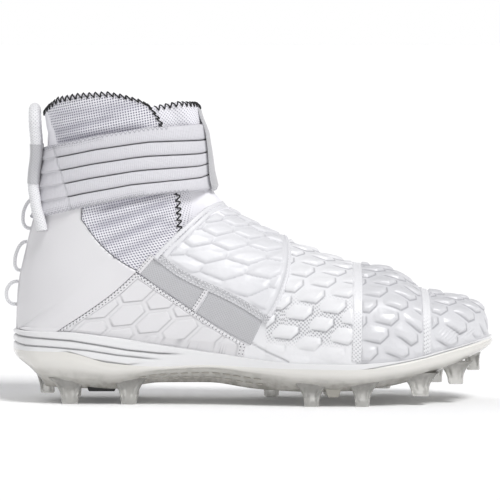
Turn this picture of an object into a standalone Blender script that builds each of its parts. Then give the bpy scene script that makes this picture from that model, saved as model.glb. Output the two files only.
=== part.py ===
"""American football cleat, right shoe, high cut: a last-shaped hollow upper on a studded plate.

Metres, +X to the toe, +Y to the inner (medial) side, +Z up. The lateral side is at -Y.
Every piece of the upper is laid on one form of the foot and ankle. A place on that form is
(s, t): s runs 0 to 1 from the toe tip over the instep and up the ankle to the collar, and
t runs from 0 on the ridge to 1 at the lateral edge and to -1 at the medial edge.
Heights of the upper are levels: 0 to 1 from ground to instep, 1 to 2 from instep to collar.
"""

from collections import namedtuple

import bmesh
import bpy
import numpy as np

# The foot and ankle form
LAST_LENGTH = 0.2985
BALL_WIDTH = 0.0975
ANKLE_WIDTH = 0.0735
INSTEP_HEIGHT = 0.128
COLLAR_HEIGHT = 0.196

# The sole
SOLE_HEIGHT = 0.0455
HEEL_LIP = 0.0034
TOE_LIP = 0.0016
PLATE_FLARE = 0.0006
PLATE_INSET = 0.0090
GROOVE_DEPTH = 0.0012
FOOTBED_DISH = 0.0020
STUD_LENGTH = 0.0115
STUD_WIDTH = 0.0095
STUD_INSET = 0.0100

# Walls and clearances
UPPER_WALL = 0.0020
TONGUE_WALL = 0.0034
OVERLAY_WALL = 0.0010
TAPE_WALL = 0.0008
SHROUD_WALL = 0.0030
STRAP_WALL = 0.0018
STRAP_CROWN = 0.0009
SHIELD_WALL = 0.0012
INSOLE_THICKNESS = 0.0040
INSOLE_MARGIN = 0.0028
CLEARANCE = 0.0003
SKIN_CLEARANCE = 0.0007
EDGE_CLEARANCE = 0.0006

# The heel's cords
PULL_CORD_DIAMETER = 0.0070
PULL_CORD_SPREAD = 0.0072
HEEL_CORD_DIAMETER = 0.0022
SLEEVE_WALL = 0.0008

# A section of the form in the plane from its ridge point to its base point. Lengths are
# shares of the last's length, of the instep and collar heights as levels, and, for the
# widths, of the ball or ankle width. A base level of None follows the sole's feather line.
Row = namedtuple(
    "Row",
    "name ridge_x ridge_level base_x base_level ridge_y out_end in_end out_wide in_wide"
    " widest round girth",
)
ROWS = [
    Row("toe_tip", 1.000, 0.328, 1.000, None, 0.072, -0.072, 0.072, -0.072, 0.072, 0.50, 2.2, "ball"),
    Row("toe_nose", 0.993, 0.422, 0.994, None, 0.072, 0.031, 0.174, 0.037, 0.181, 0.65, 2.2, "ball"),
    Row("toe", 0.974, 0.479, 0.976, None, 0.077, 0.144, 0.272, 0.154, 0.282, 0.70, 2.3, "ball"),
    Row("toe_cap", 0.932, 0.512, 0.932, None, 0.082, 0.282, 0.374, 0.295, 0.388, 0.72, 2.4, "ball"),
    Row("band_front", 0.865, 0.542, 0.865, None, 0.082, 0.405, 0.454, 0.421, 0.467, 0.75, 2.4, "ball"),
    Row("band_back", 0.792, 0.643, 0.792, None, 0.082, 0.490, 0.486, 0.506, 0.497, 0.78, 2.3, "ball"),
    Row("ball", 0.698, 0.684, 0.691, None, 0.077, 0.533, 0.467, 0.549, 0.480, 0.80, 2.25, "ball"),
    Row("vamp", 0.597, 0.768, 0.577, None, 0.067, 0.501, 0.379, 0.513, 0.405, 0.80, 2.15, "ball"),
    Row("instep", 0.524, 0.838, 0.457, None, 0.051, 0.423, 0.310, 0.451, 0.374, 0.72, 2.1, "ball"),
    Row("throat", 0.467, 0.906, 0.313, None, 0.031, 0.375, 0.318, 0.415, 0.385, 0.60, 2.1, "ball"),
    Row("heel_floor", 0.431, 0.965, 0.162, None, 0.015, 0.355, 0.347, 0.395, 0.388, 0.52, 2.1, "ball"),
    Row("heel_corner", 0.415, 1.051, 0.048, None, 0.008, 0.273, 0.269, 0.385, 0.379, 0.48, 2.1, "ball"),
    Row("heel_curve", 0.411, 1.110, 0.012, None, 0.004, 0.157, 0.155, 0.382, 0.377, 0.47, 2.1, "ball"),
    Row("heel_end", 0.408, 1.162, 0.000, None, 0.000, 0.000, 0.000, 0.503, 0.498, 0.46, 2.1, "ankle"),
    Row("heel_back", 0.403, 1.265, 0.003, 0.531, 0.000, 0.000, 0.000, 0.495, 0.493, 0.45, 2.1, "ankle"),
    Row("achilles", 0.399, 1.397, 0.025, 0.789, 0.000, 0.000, 0.000, 0.487, 0.487, 0.46, 2.1, "ankle"),
    Row("ankle", 0.393, 1.559, 0.053, 1.103, 0.000, 0.000, 0.000, 0.487, 0.487, 0.47, 2.1, "ankle"),
    Row("cuff", 0.386, 1.765, 0.064, 1.515, 0.000, 0.000, 0.000, 0.493, 0.493, 0.48, 2.1, "ankle"),
    Row("collar", 0.373, 2.147, 0.048, 2.059, 0.000, 0.000, 0.000, 0.503, 0.503, 0.48, 2.1, "ankle"),
]

# Heights of the sole's side, as shares of its height, from the heel (0) to the toe (1)
SoleStep = namedtuple("SoleStep", "along feather joint edge bottom")
SOLE_STEPS = [
    SoleStep(0.0, 1.000, 0.736, 0.484, 0.242),
    SoleStep(0.1, 1.002, 0.736, 0.402, 0.222),
    SoleStep(0.2, 0.936, 0.585, 0.376, 0.209),
    SoleStep(0.3, 0.842, 0.543, 0.473, 0.299),
    SoleStep(0.4, 0.747, 0.569, 0.514, 0.305),
    SoleStep(0.5, 0.653, 0.543, 0.444, 0.222),
    SoleStep(0.6, 0.598, 0.527, 0.363, 0.196),
    SoleStep(0.7, 0.593, 0.523, 0.347, 0.209),
    SoleStep(0.8, 0.626, 0.576, 0.411, 0.279),
    SoleStep(0.9, 0.760, 0.716, 0.527, 0.431),
    SoleStep(1.0, 0.901, 0.857, 0.747, 0.659),
]

# A stud: where it stands along the last, which side it is on, its length and width as
# shares of the stud sizes, the height of its tip as a share of the sole's height, and
# how far its tip leans to the toe as a share of its length.
Stud = namedtuple("Stud", "name along side length width tip lean")
STUDS = [
    Stud("heel_back_lateral", 0.110, -1, 0.95, 1.00, 0.00, 0.05),
    Stud("heel_front_lateral", 0.236, -1, 0.90, 1.00, 0.00, 0.00),
    Stud("heel_back_medial", 0.110, 1, 0.95, 1.00, 0.00, 0.05),
    Stud("heel_front_medial", 0.236, 1, 0.90, 1.00, 0.00, 0.00),
    Stud("heel_tip", 0.058, 0, 1.15, 1.30, 0.11, 0.10),
    Stud("fore_1_lateral", 0.620, -1, 0.85, 1.00, 0.00, 0.00),
    Stud("fore_2_lateral", 0.726, -1, 0.80, 1.00, 0.00, 0.00),
    Stud("fore_3_lateral", 0.843, -1, 1.00, 1.00, 0.13, 0.15),
    Stud("fore_4_lateral", 0.921, -1, 0.85, 0.90, 0.27, 0.10),
    Stud("fore_1_medial", 0.537, 1, 0.85, 1.00, 0.00, 0.00),
    Stud("fore_2_medial", 0.664, 1, 0.85, 1.00, 0.00, 0.00),
    Stud("fore_3_medial", 0.778, 1, 0.85, 1.00, 0.09, 0.00),
    Stud("fore_4_medial", 0.886, 1, 0.85, 0.90, 0.19, 0.10),
    Stud("toe_tip", 0.962, 0, 0.80, 1.30, 0.42, 0.10),
]

# Outlines as seen from the side, as (share of the last's length, level) pairs
COLLAR_DOME = [
    (0.036, 1.714), (0.049, 1.779), (0.066, 1.890), (0.087, 1.951), (0.130, 1.983),
    (0.193, 2.011), (0.236, 1.983), (0.267, 1.937), (0.289, 1.862),
]
THROAT_EDGE = [
    (0.385, 0.800), (0.344, 0.850), (0.335, 1.072), (0.320, 1.444), (0.306, 1.732), (0.289, 1.862),
]
TONGUE_TOP = [(0.278, 1.844), (0.299, 1.872), (0.342, 1.909), (0.378, 1.900), (0.390, 1.835)]
STRAP_TOP = [
    (0.024, 1.416), (0.055, 1.462), (0.083, 1.509), (0.172, 1.602), (0.278, 1.676), (0.399, 1.700),
]
STRAP_BOTTOM = [
    (0.024, 0.890), (0.066, 0.919), (0.138, 0.964), (0.236, 1.025), (0.320, 1.067), (0.414, 1.086),
]
HEEL_PANEL_FRONT = [
    (0.253, 0.657), (0.214, 0.717), (0.172, 0.801), (0.144, 0.880), (0.136, 0.915),
]
QUARTER_BACK = [(0.091, 0.366), (0.150, 0.457), (0.205, 0.551), (0.253, 0.652)]
QUARTER_FRONT = [(0.490, 0.302), (0.395, 0.405), (0.300, 0.560), (0.253, 0.652)]
TAPE_TOP = [(0.288, 0.706), (0.345, 0.648), (0.430, 0.525), (0.515, 0.388)]
TAPE_BOTTOM = [(0.262, 0.664), (0.330, 0.553), (0.405, 0.433), (0.490, 0.320)]
SHROUD_BACK = [(0.348, 0.860), (0.289, 0.727)]
SHROUD_BOTTOM = [(0.289, 0.727), (0.350, 0.662), (0.436, 0.538), (0.525, 0.400)]
SHROUD_FRONT = [(0.566, 0.707), (0.549, 0.593), (0.525, 0.400)]
SHROUD_RIDGE_BACK = 0.428
SHROUD_RIDGE_FRONT = 0.570
SHROUD_STEPS = 9
TOE_TAPES = [("toe_tape_back", 0.702, 0.722), ("toe_tape_front", 0.862, 0.880)]
STRAP_BANDS = 5
STRAP_MARGIN = 0.006
BAND_SECTION = [(0.0, 0.0), (0.14, 1.0), (0.86, 1.0)]
TONGUE_HALF = 0.42
TONGUE_LAP = 0.20
TONGUE_LAP_SLOPE = 0.08
SHIELD_HALF = 0.115
SHIELD_MARGIN = 0.03

# The pull cord's lateral strand from its sewn end to the top of its loop: its level, its
# share of the spread from the back seam, and its stand off the form in cord diameters
PULL_CORD_ROUTE = [
    (0.868, 2.20, 0.80), (0.905, 2.00, 0.93), (0.955, 1.65, 1.12), (1.030, 1.30, 1.22),
    (1.120, 1.05, 1.37), (1.250, 1.00, 1.41), (1.400, 1.00, 1.41), (1.530, 1.00, 1.41),
    (1.660, 1.05, 1.32), (1.760, 1.10, 1.25), (1.830, 0.95, 1.10), (1.875, 0.55, 0.95),
    (1.890, 0.00, 0.90),
]
SLEEVE_LEVELS = (1.143, 1.515)

# Each heel loop: the levels where it leaves and meets the back seam, how far it stands off,
# and the piece that its top end lies on
HeelLoop = namedtuple("HeelLoop", "name low high reach top_on")
HEEL_LOOPS = [
    HeelLoop("heel_loop_1", 0.852, 1.000, 0.0085, "strap"),
    HeelLoop("heel_loop_2", 0.644, 0.787, 0.0075, "panel"),
    HeelLoop("heel_loop_3", 0.476, 0.590, 0.0093, "panel"),
]

# The stud's section down its length, as shares of its length down and of its plan size
STUD_SECTION = [(0.0, 1.45), (0.35, 1.12), (0.92, 0.86), (1.0, 0.74)]

# The carrier's side from its top edge down: share of its height, tuck in toe lips, and
# whether the ring is the bottom of a groove. The grooves fade out ahead of the heel.
CarrierStep = namedtuple("CarrierStep", "share tuck groove")
CARRIER_STEPS = [
    CarrierStep(0.00, -0.60, 0), CarrierStep(0.10, 0.0, 0), CarrierStep(0.34, 0.0, 0),
    CarrierStep(0.385, 0.0, 1), CarrierStep(0.43, 0.0, 0), CarrierStep(0.60, 0.0, 0),
    CarrierStep(0.645, 0.0, 1), CarrierStep(0.69, 0.0, 0), CarrierStep(1.00, 0.0, 0),
]
GROOVE_END = 0.36
GROOVE_FADE = 0.08
LIP_FADE = 2.2

# How finely the form is sampled
FORM_ROWS = 220
FORM_COLUMNS = 60
SECTION_SAMPLES = 120
SLAB_SPANS = 4

COLOURS = {
    "upper_white": ((0.90, 0.90, 0.91), 0.62),
    "panel_white": ((0.82, 0.81, 0.82), 0.42),
    "strap_grey": ((0.66, 0.66, 0.69), 0.70),
    "tape_grey": ((0.50, 0.50, 0.52), 0.75),
    "cord_white": ((0.86, 0.86, 0.87), 0.70),
    "carrier_white": ((0.88, 0.88, 0.89), 0.35),
    "plate_pearl": ((0.74, 0.73, 0.69), 0.22),
    "insole_grey": ((0.55, 0.55, 0.57), 0.85),
}


def metres_along(along):
    return np.asarray(along) * LAST_LENGTH


def height(level):
    """Metres above the ground of a level."""
    level = np.asarray(level, float)
    above = INSTEP_HEIGHT + (level - 1) * (COLLAR_HEIGHT - INSTEP_HEIGHT)
    return np.where(level <= 1, level * INSTEP_HEIGHT, above)


def smooth_curve(knots, values, where):
    """Values at the places where, on a smooth curve through the knots that never overshoots."""
    steps = np.diff(knots)
    slopes = np.diff(values) / steps
    tangents = np.zeros(len(knots))
    for k in range(1, len(knots) - 1):
        if slopes[k - 1] * slopes[k] > 0:
            before = 2 * steps[k] + steps[k - 1]
            after = steps[k] + 2 * steps[k - 1]
            tangents[k] = (before + after) / (before / slopes[k - 1] + after / slopes[k])
    tangents[0] = slopes[0]
    tangents[-1] = slopes[-1]
    k = np.clip(np.searchsorted(knots, where) - 1, 0, len(steps) - 1)
    u = (where - knots[k]) / steps[k]
    rise = values[k + 1] - values[k]
    low = tangents[k] * steps[k]
    high = tangents[k + 1] * steps[k]
    return values[k] + u * (low + u * (3 * rise - 2 * low - high + u * (low + high - 2 * rise)))


def sole_height(step, x):
    """Height of one of the sole's edges at x."""
    knots = np.array([row.along for row in SOLE_STEPS])
    values = np.array([getattr(row, step) for row in SOLE_STEPS])
    along = np.clip(np.asarray(x, float) / LAST_LENGTH, 0, 1)
    return SOLE_HEIGHT * smooth_curve(knots, values, along)


def form_table():
    """The rows as arrays in metres, with the place of each row along the form."""
    width = np.array([BALL_WIDTH if row.girth == "ball" else ANKLE_WIDTH for row in ROWS])
    table = {"widest": np.array([row.widest for row in ROWS])}
    table["round"] = np.array([row.round for row in ROWS])
    for column in ("ridge_y", "out_end", "in_end", "out_wide", "in_wide"):
        table[column] = np.array([getattr(row, column) for row in ROWS]) * width
    table["ridge_x"] = metres_along([row.ridge_x for row in ROWS])
    table["base_x"] = metres_along([row.base_x for row in ROWS])
    table["ridge_z"] = height([row.ridge_level for row in ROWS])
    feather = sole_height("feather", table["base_x"])
    given = [row.base_level for row in ROWS]
    table["base_z"] = np.array([f if g is None else float(height(g)) for f, g in zip(feather, given)])
    table["ridge_z"][0] = table["base_z"][0]
    ridge = np.hypot(np.diff(table["ridge_x"]), np.diff(table["ridge_z"]))
    base = np.hypot(np.diff(table["base_x"]), np.diff(table["base_z"]))
    table["place"] = np.concatenate([[0], np.cumsum(ridge + base)])
    table["place"] /= table["place"][-1]
    heel = table["place"][[row.name for row in ROWS].index("heel_end")]
    snapped = round(heel * FORM_ROWS) / FORM_ROWS
    foot = table["place"] * snapped / heel
    ankle = 1 - (1 - table["place"]) * (1 - snapped) / (1 - heel)
    table["place"] = np.where(table["place"] <= heel, foot, ankle)
    return table


TABLE = form_table()


def row_place(name):
    """The s of a named row."""
    return float(TABLE["place"][[row.name for row in ROWS].index(name)])


def half_section(wide, end, widest, power):
    """Shares from ridge to base, and distances out from the ridge's plane, of one half."""
    ratio = np.clip(end / wide, 0, 0.995) if wide > 1e-6 else 0.0
    turn = np.linspace(0, np.pi / 2, SECTION_SAMPLES)
    front = widest * (1 - np.cos(turn) ** (2 / power))
    front_out = wide * np.sin(turn) ** (2 / power)
    last_turn = np.arcsin(np.sqrt(1 - ratio**power))
    turn = np.linspace(0, last_turn, SECTION_SAMPLES)[1:]
    back = widest + (1 - widest) * (np.sin(turn) / np.sin(last_turn)) ** (2 / power)
    back_out = wide * np.cos(turn) ** (2 / power)
    back_out[-1] = end
    return np.concatenate([front, back]), np.concatenate([front_out, back_out])


def form_lattice():
    """Points of the form on a regular grid of s and t."""
    places = np.linspace(0, 1, FORM_ROWS + 1)
    at = {name: smooth_curve(TABLE["place"], values, places) for name, values in TABLE.items()}
    lattice = np.zeros((FORM_ROWS + 1, 2 * FORM_COLUMNS + 1, 3))
    for i in range(FORM_ROWS + 1):
        ridge = np.array([at["ridge_x"][i], at["ridge_z"][i]])
        base = np.array([at["base_x"][i], at["base_z"][i]])
        if places[i] <= row_place("heel_end"):
            base[1] = sole_height("feather", base[0])
        for side, wide, end in ((-1, "out_wide", "out_end"), (1, "in_wide", "in_end")):
            reach = at[wide][i] - side * at["ridge_y"][i]
            foot = at[end][i] - side * at["ridge_y"][i]
            down, out = half_section(reach, foot, at["widest"][i], at["round"][i])
            flat = ridge + down[:, None] * (base - ridge)
            curve = np.column_stack([flat[:, 0], at["ridge_y"][i] + side * out, flat[:, 1]])
            length = np.concatenate([[0], np.cumsum(np.linalg.norm(np.diff(curve, axis=0), axis=1))])
            share = length / length[-1] if length[-1] > 1e-9 else np.linspace(0, 1, len(length))
            columns = np.linspace(0, 1, FORM_COLUMNS + 1)
            points = np.column_stack([np.interp(columns, share, axis) for axis in curve.T])
            if side == -1:
                lattice[i, FORM_COLUMNS:] = points
            else:
                lattice[i, : FORM_COLUMNS + 1] = points[::-1]
    return lattice


LATTICE = form_lattice()


def on_form(s, t):
    """Points of the form at (s, t), by bilinear steps on the lattice."""
    rows = np.clip(np.asarray(s, float), 0, 1) * FORM_ROWS
    columns = (np.clip(np.asarray(t, float), -1, 1) + 1) * FORM_COLUMNS
    i = np.minimum(rows.astype(int), FORM_ROWS - 1)
    j = np.minimum(columns.astype(int), 2 * FORM_COLUMNS - 1)
    u = (rows - i)[..., None]
    v = (columns - j)[..., None]
    near = LATTICE[i, j] * (1 - v) + LATTICE[i, j + 1] * v
    far = LATTICE[i + 1, j] * (1 - v) + LATTICE[i + 1, j + 1] * v
    return near * (1 - u) + far * u


def outward(s, t):
    """Unit normals of the form at (s, t), pointing out of the shoe."""
    s = np.asarray(s, float)
    t = np.asarray(t, float)
    ds = 0.75 / FORM_ROWS
    dt = 0.75 / FORM_COLUMNS
    along = on_form(s + ds, t) - on_form(s - ds, t)
    around = on_form(s, t + dt) - on_form(s, t - dt)
    normal = np.cross(along, around)
    normal[s < 0.5 / FORM_ROWS] = (1.0, 0.0, 0.12)
    seam = (np.abs(t) > 1 - 1e-9) & (s >= row_place("heel_end"))
    normal[seam, 1] = 0
    return normal / np.linalg.norm(normal, axis=-1, keepdims=True)


def place(s, t, out):
    """Points that stand off the form by out."""
    s, t = np.broadcast_arrays(np.asarray(s, float), np.asarray(t, float))
    return on_form(s, t) + np.asarray(out)[..., None] * outward(s, t)


def find(side_points, side):
    """The (s, t) of points given as seen from the side, on the side -1 lateral or 1 medial."""
    found = []
    half = LATTICE[:, FORM_COLUMNS:] if side == -1 else LATTICE[:, : FORM_COLUMNS + 1]
    for along, level in side_points:
        target = np.array([float(metres_along(along)), float(height(level))])
        apart = np.hypot(half[..., 0] - target[0], half[..., 2] - target[1])
        i, j = np.unravel_index(np.argmin(apart), apart.shape)
        t = j / FORM_COLUMNS if side == -1 else j / FORM_COLUMNS - 1
        found.append((i / FORM_ROWS, t))
    return np.array(found)


def crossing(t, edge):
    """The s at which each column t of the ankle crosses an edge seen from the side."""
    xs = metres_along([along for along, _ in edge])
    zs = height([level for _, level in edge])
    s = np.linspace(row_place("throat"), 1, 3 * FORM_ROWS)
    found = []
    for column in np.atleast_1d(t):
        points = on_form(s, np.full_like(s, column))
        over = points[:, 2] - np.interp(points[:, 0], xs, zs)
        k = int(np.argmax(over > 0)) or len(s) - 1
        found.append(s[k - 1] + (s[k] - s[k - 1]) * over[k - 1] / (over[k - 1] - over[k]))
    return np.array(found)


def evenly(points, count):
    """A path of (s, t) points walked in equal steps over the form."""
    points = np.asarray(points, float)
    fine = np.linspace(0, len(points) - 1, 40 * len(points))
    knots = np.arange(len(points))
    path = np.column_stack([np.interp(fine, knots, axis) for axis in points.T])
    steps = np.linalg.norm(np.diff(on_form(path[:, 0], path[:, 1]), axis=0), axis=1)
    walked = np.concatenate([[0], np.cumsum(steps)])
    marks = np.linspace(0, walked[-1], count)
    return np.column_stack([np.interp(marks, walked, axis) for axis in path.T])


def patch(start, end, first, last):
    """A grid of (s, t) between four paths: start and end across, first and last along."""
    u = np.linspace(0, 1, len(first))[:, None, None]
    v = np.linspace(0, 1, len(start))[None, :, None]
    ruled = (1 - u) * start[None] + u * end[None] + (1 - v) * first[:, None] + v * last[:, None]
    corners = (1 - u) * ((1 - v) * start[0] + v * start[-1]) + u * ((1 - v) * end[0] + v * end[-1])
    return ruled - corners


def mirrored(grid):
    """The same patch on the other side of the ridge."""
    return np.stack([grid[..., 0], -grid[..., 1]], axis=-1)


def material(name):
    colour, roughness = COLOURS[name]
    made = bpy.data.materials.get(name)
    if made is None:
        made = bpy.data.materials.new(name)
        made.use_nodes = True
        shader = made.node_tree.nodes["Principled BSDF"]
        shader.inputs["Base Color"].default_value = (*colour, 1)
        shader.inputs["Roughness"].default_value = roughness
        shader.inputs["Metallic"].default_value = 0.0
    return made


def piece(name, mesh, slot):
    """An object of the shoe, shaded smooth, in the shoe's collection."""
    mesh.materials.append(material(slot))
    mesh.shade_smooth()
    made = bpy.data.objects.new(name, mesh)
    SHOE.objects.link(made)
    return made


def mesh_from(name, bm):
    bmesh.ops.remove_doubles(bm, verts=bm.verts, dist=1e-6)
    bmesh.ops.dissolve_degenerate(bm, edges=bm.edges, dist=1e-7)
    mesh = bpy.data.meshes.new(name)
    bm.to_mesh(mesh)
    bm.free()
    return mesh


def add_grid(bm, points, normals):
    """Quads over a grid of points, facing along the normals."""
    verts = [[bm.verts.new(point) for point in row] for row in points]
    rows = len(verts)
    columns = len(verts[0])
    i = rows // 2
    j = columns // 2
    across = np.cross(points[i, j] - points[i - 1, j], points[i, j] - points[i, j - 1])
    turned = float(across @ normals[i, j]) < 0
    for i in range(rows - 1):
        for j in range(columns - 1):
            corners = [verts[i][j], verts[i + 1][j], verts[i + 1][j + 1], verts[i][j + 1]]
            bm.faces.new(corners[::-1] if turned else corners)


def skin(name, grids, out, wall, slot, inward=False):
    """A sheet laid on the form at the distance out, thickened away from it or inwards."""
    bm = bmesh.new()
    for grid in grids:
        s = grid[..., 0]
        t = grid[..., 1]
        stand = out(s, t) if callable(out) else np.full(s.shape, out)
        add_grid(bm, place(s, t, stand), outward(s, t))
    made = piece(name, mesh_from(name, bm), slot)
    thicken = made.modifiers.new("wall", "SOLIDIFY")
    thicken.thickness = wall
    thicken.offset = -1 if inward else 1
    thicken.use_even_offset = True
    thicken.use_quality_normals = True
    return made


def throat_path(count):
    """The throat's lateral edge, from its lowest point on the ridge up to the collar."""
    lowest = (row_place("throat"), 0.0)
    return evenly(np.vstack([lowest, find(THROAT_EDGE, -1)]), count)


def upper_grids():
    """The foot in one grid, and the heel, ankle and collar in one for each side of the throat."""
    columns = 10
    rows = 19
    throat = row_place("throat")
    toe = row_place("toe_cap")
    toe_rows = toe * np.array([0, 0.07, 0.2, 0.4, 0.7])
    foot_rows = np.concatenate([toe_rows, np.linspace(toe, throat, 9)])
    across = np.linspace(-1, 1, 2 * columns + 1)
    foot = np.stack(np.meshgrid(foot_rows, across, indexing="ij"), axis=-1)
    front = throat_path(rows)
    corner = front[-1]
    around = corner[1] + (1 - corner[1]) * np.linspace(0, 1, columns + 1)
    top = np.column_stack([crossing(around, COLLAR_DOME), around])
    top[0] = corner
    start = np.column_stack([np.full(columns + 1, throat), np.linspace(0, 1, columns + 1)])
    back = np.column_stack([np.linspace(throat, top[-1, 0], rows), np.ones(rows)])
    near_heel = int(np.argmin(np.abs(back[:, 0] - row_place("heel_end"))))
    back[near_heel, 0] = row_place("heel_end")
    ankle = patch(start, top, front, back)
    return [foot, ankle, mirrored(ankle)]


def make_upper():
    return skin("upper", upper_grids(), 0.0, UPPER_WALL, "upper_white", inward=True)


def make_tongue():
    """It lies inside the throat's edges and comes flush with the form between them."""
    columns = np.linspace(-TONGUE_HALF, TONGUE_HALF, 13)
    top = crossing(columns, TONGUE_TOP)
    bottom = 0.5 * (row_place("instep") + row_place("throat"))
    steps = np.linspace(0, 1, 13)[:, None]
    s = bottom + steps * (top[None] - bottom)
    t = np.broadcast_to(columns, s.shape)

    throat = throat_path(30)

    def stand(s, t):
        edge = np.interp(s, throat[:, 0], throat[:, 1], left=0.0)
        tuck = np.clip((np.abs(t) - edge + TONGUE_LAP) / TONGUE_LAP_SLOPE, 0, 1)
        return -CLEARANCE - tuck * tuck * (3 - 2 * tuck) * (UPPER_WALL + SKIN_CLEARANCE + CLEARANCE)

    grid = np.stack([s, t], axis=-1)
    return skin("tongue", [grid], stand, TONGUE_WALL, "upper_white", inward=True)


def make_ankle_strap():
    """Elastic bands side by side right round the ankle, with a groove between each two."""
    columns = np.linspace(-1, 1, 25)
    low = crossing(columns, STRAP_BOTTOM)
    high = crossing(columns, STRAP_TOP)
    rows = []
    crowns = []
    for band in range(STRAP_BANDS):
        for share, crown in BAND_SECTION:
            rows.append((band + share) / STRAP_BANDS)
            crowns.append(crown)
    rows.append(1.0)
    crowns.append(0.0)
    s = low[None] + np.array(rows)[:, None] * (high - low)[None]
    t = np.broadcast_to(columns, s.shape)
    crown = np.broadcast_to(np.array(crowns)[:, None], s.shape)
    grid = np.stack([s, t], axis=-1)

    def stand(s, t):
        return SKIN_CLEARANCE + STRAP_CROWN * crown

    return skin("ankle_strap", [grid], stand, STRAP_WALL, "strap_grey")


def make_front_shield():
    """The grey loop that the strap passes under at the front of the ankle."""
    columns = np.linspace(-SHIELD_HALF, SHIELD_HALF, 7)
    low = crossing(columns, STRAP_BOTTOM)
    high = crossing(columns, STRAP_TOP)
    shares = np.linspace(SHIELD_MARGIN, 1 - SHIELD_MARGIN, 8)[:, None]
    s = low[None] + shares * (high - low)[None]
    t = np.broadcast_to(columns, s.shape)
    under = SKIN_CLEARANCE + STRAP_CROWN + STRAP_WALL + CLEARANCE
    rise = np.sin(np.pi * shares) * STRAP_CROWN

    def stand(s, t):
        return under + rise + np.zeros_like(s)

    return skin("front_shield", [np.stack([s, t], axis=-1)], stand, SHIELD_WALL, "tape_grey")


def make_midfoot_strap():
    """The padded shroud over the instep, from one side of the sole to the other."""
    ridge_row = TABLE["ridge_x"] / LAST_LENGTH
    ridge_s = [float(np.interp(-share, -ridge_row, TABLE["place"])) for share in
               (SHROUD_RIDGE_BACK, SHROUD_RIDGE_FRONT)]
    back = evenly(np.vstack([[ridge_s[0], 0], find(SHROUD_BACK, -1)]), SHROUD_STEPS)
    front = evenly(np.vstack([[ridge_s[1], 0], find(SHROUD_FRONT, -1)]), SHROUD_STEPS)
    bottom = evenly(find(SHROUD_BOTTOM, -1), SHROUD_STEPS)
    bottom[0] = back[-1]
    bottom[-1] = front[-1]
    ridge = np.column_stack([np.linspace(*ridge_s, SHROUD_STEPS), np.zeros(SHROUD_STEPS)])
    half = patch(back, front, ridge, bottom)
    halves = [half, mirrored(half)]
    return skin("midfoot_strap", halves, SKIN_CLEARANCE, SHROUD_WALL, "panel_white")


def make_heel_panel():
    """The smooth counter round the heel, up to the ankle strap."""
    edge = find(HEEL_PANEL_FRONT, -1)
    corner = (float(crossing(edge[-1, 1], STRAP_BOTTOM)[0]) - STRAP_MARGIN, edge[-1, 1])
    front = evenly(np.vstack([edge, corner]), 11)
    low = evenly(find(QUARTER_BACK[::-1], -1), 11)[::-1]
    low[-1] = front[0]
    low[0, 1] = 1.0
    strap = crossing(np.linspace(front[-1, 1], 1, 11), STRAP_BOTTOM)
    top = np.column_stack([strap - STRAP_MARGIN, np.linspace(front[-1, 1], 1, 11)])
    top[0] = front[-1]
    heel = row_place("heel_end")
    feather = np.linspace(low[0, 0], heel, 7)
    seam = np.linspace(heel, top[-1, 0], 5)[1:]
    back = np.column_stack([np.concatenate([feather, seam]), np.ones(11)])
    half = patch(low, top[::-1], back, front)
    return skin("heel_panel", [half, mirrored(half)], SKIN_CLEARANCE, OVERLAY_WALL, "panel_white")


def inset_path(path, towards, distance):
    """A path moved over the form towards another place, by a distance."""
    start = on_form(path[:, 0], path[:, 1])
    apart = np.linalg.norm(on_form(*np.broadcast_arrays(*towards)) - start, axis=1)
    share = (distance / np.maximum(apart, 1e-4))[:, None]
    return path + share * (np.array(towards) - path)


def make_quarter_overlay():
    """The three-cornered panel of large scales over the side of the heel and arch."""
    low = evenly(find(QUARTER_BACK, -1), 9)
    high = evenly(find(QUARTER_FRONT, -1), 9)
    low[0, 1] = 1.0
    high[0, 1] = 1.0
    centre = tuple((low[2] + high[2]) / 2)
    low = inset_path(low, centre, 2 * EDGE_CLEARANCE)
    high = inset_path(high, centre, EDGE_CLEARANCE)
    low[0, 1] = 1.0
    high[0, 1] = 1.0
    low[-1] = high[-1]
    steps = np.linspace(0, 1, 11)[:, None, None]
    grid = low[None] * (1 - steps) + high[None] * steps
    return skin("quarter_overlay", [grid], SKIN_CLEARANCE, OVERLAY_WALL, "panel_white")


def make_side_tapes():
    """Two lengths of woven tape between the quarter overlay and the midfoot strap."""
    top = evenly(find(TAPE_TOP, -1), 21)
    bottom = evenly(find(TAPE_BOTTOM, -1), 21)
    made = []
    for name, first, last in (("side_tape_upper", 0, 10), ("side_tape_lower", 10, 20)):
        steps = np.linspace(0.10, 0.90, 4)[None, :, None]
        grid = top[first : last + 1, None] * (1 - steps) + bottom[first : last + 1, None] * steps
        if first:
            grid[0] = grid[0] + 0.08 * (grid[1] - grid[0])
        made.append(skin(name, [grid], SKIN_CLEARANCE, TAPE_WALL, "tape_grey"))
    return made


def make_toe_tapes():
    """Two narrow tapes over the toe box, edge to edge."""
    made = []
    base = TABLE["base_x"] / LAST_LENGTH
    for name, back, front in TOE_TAPES:
        rows = [float(np.interp(-share, -base, TABLE["place"])) for share in (back, front)]
        s, t = np.meshgrid(np.linspace(*rows, 3), np.linspace(-0.985, 0.985, 19), indexing="ij")
        made.append(skin(name, [np.stack([s, t], axis=-1)], SKIN_CLEARANCE, TAPE_WALL, "panel_white"))
    return made


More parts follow.
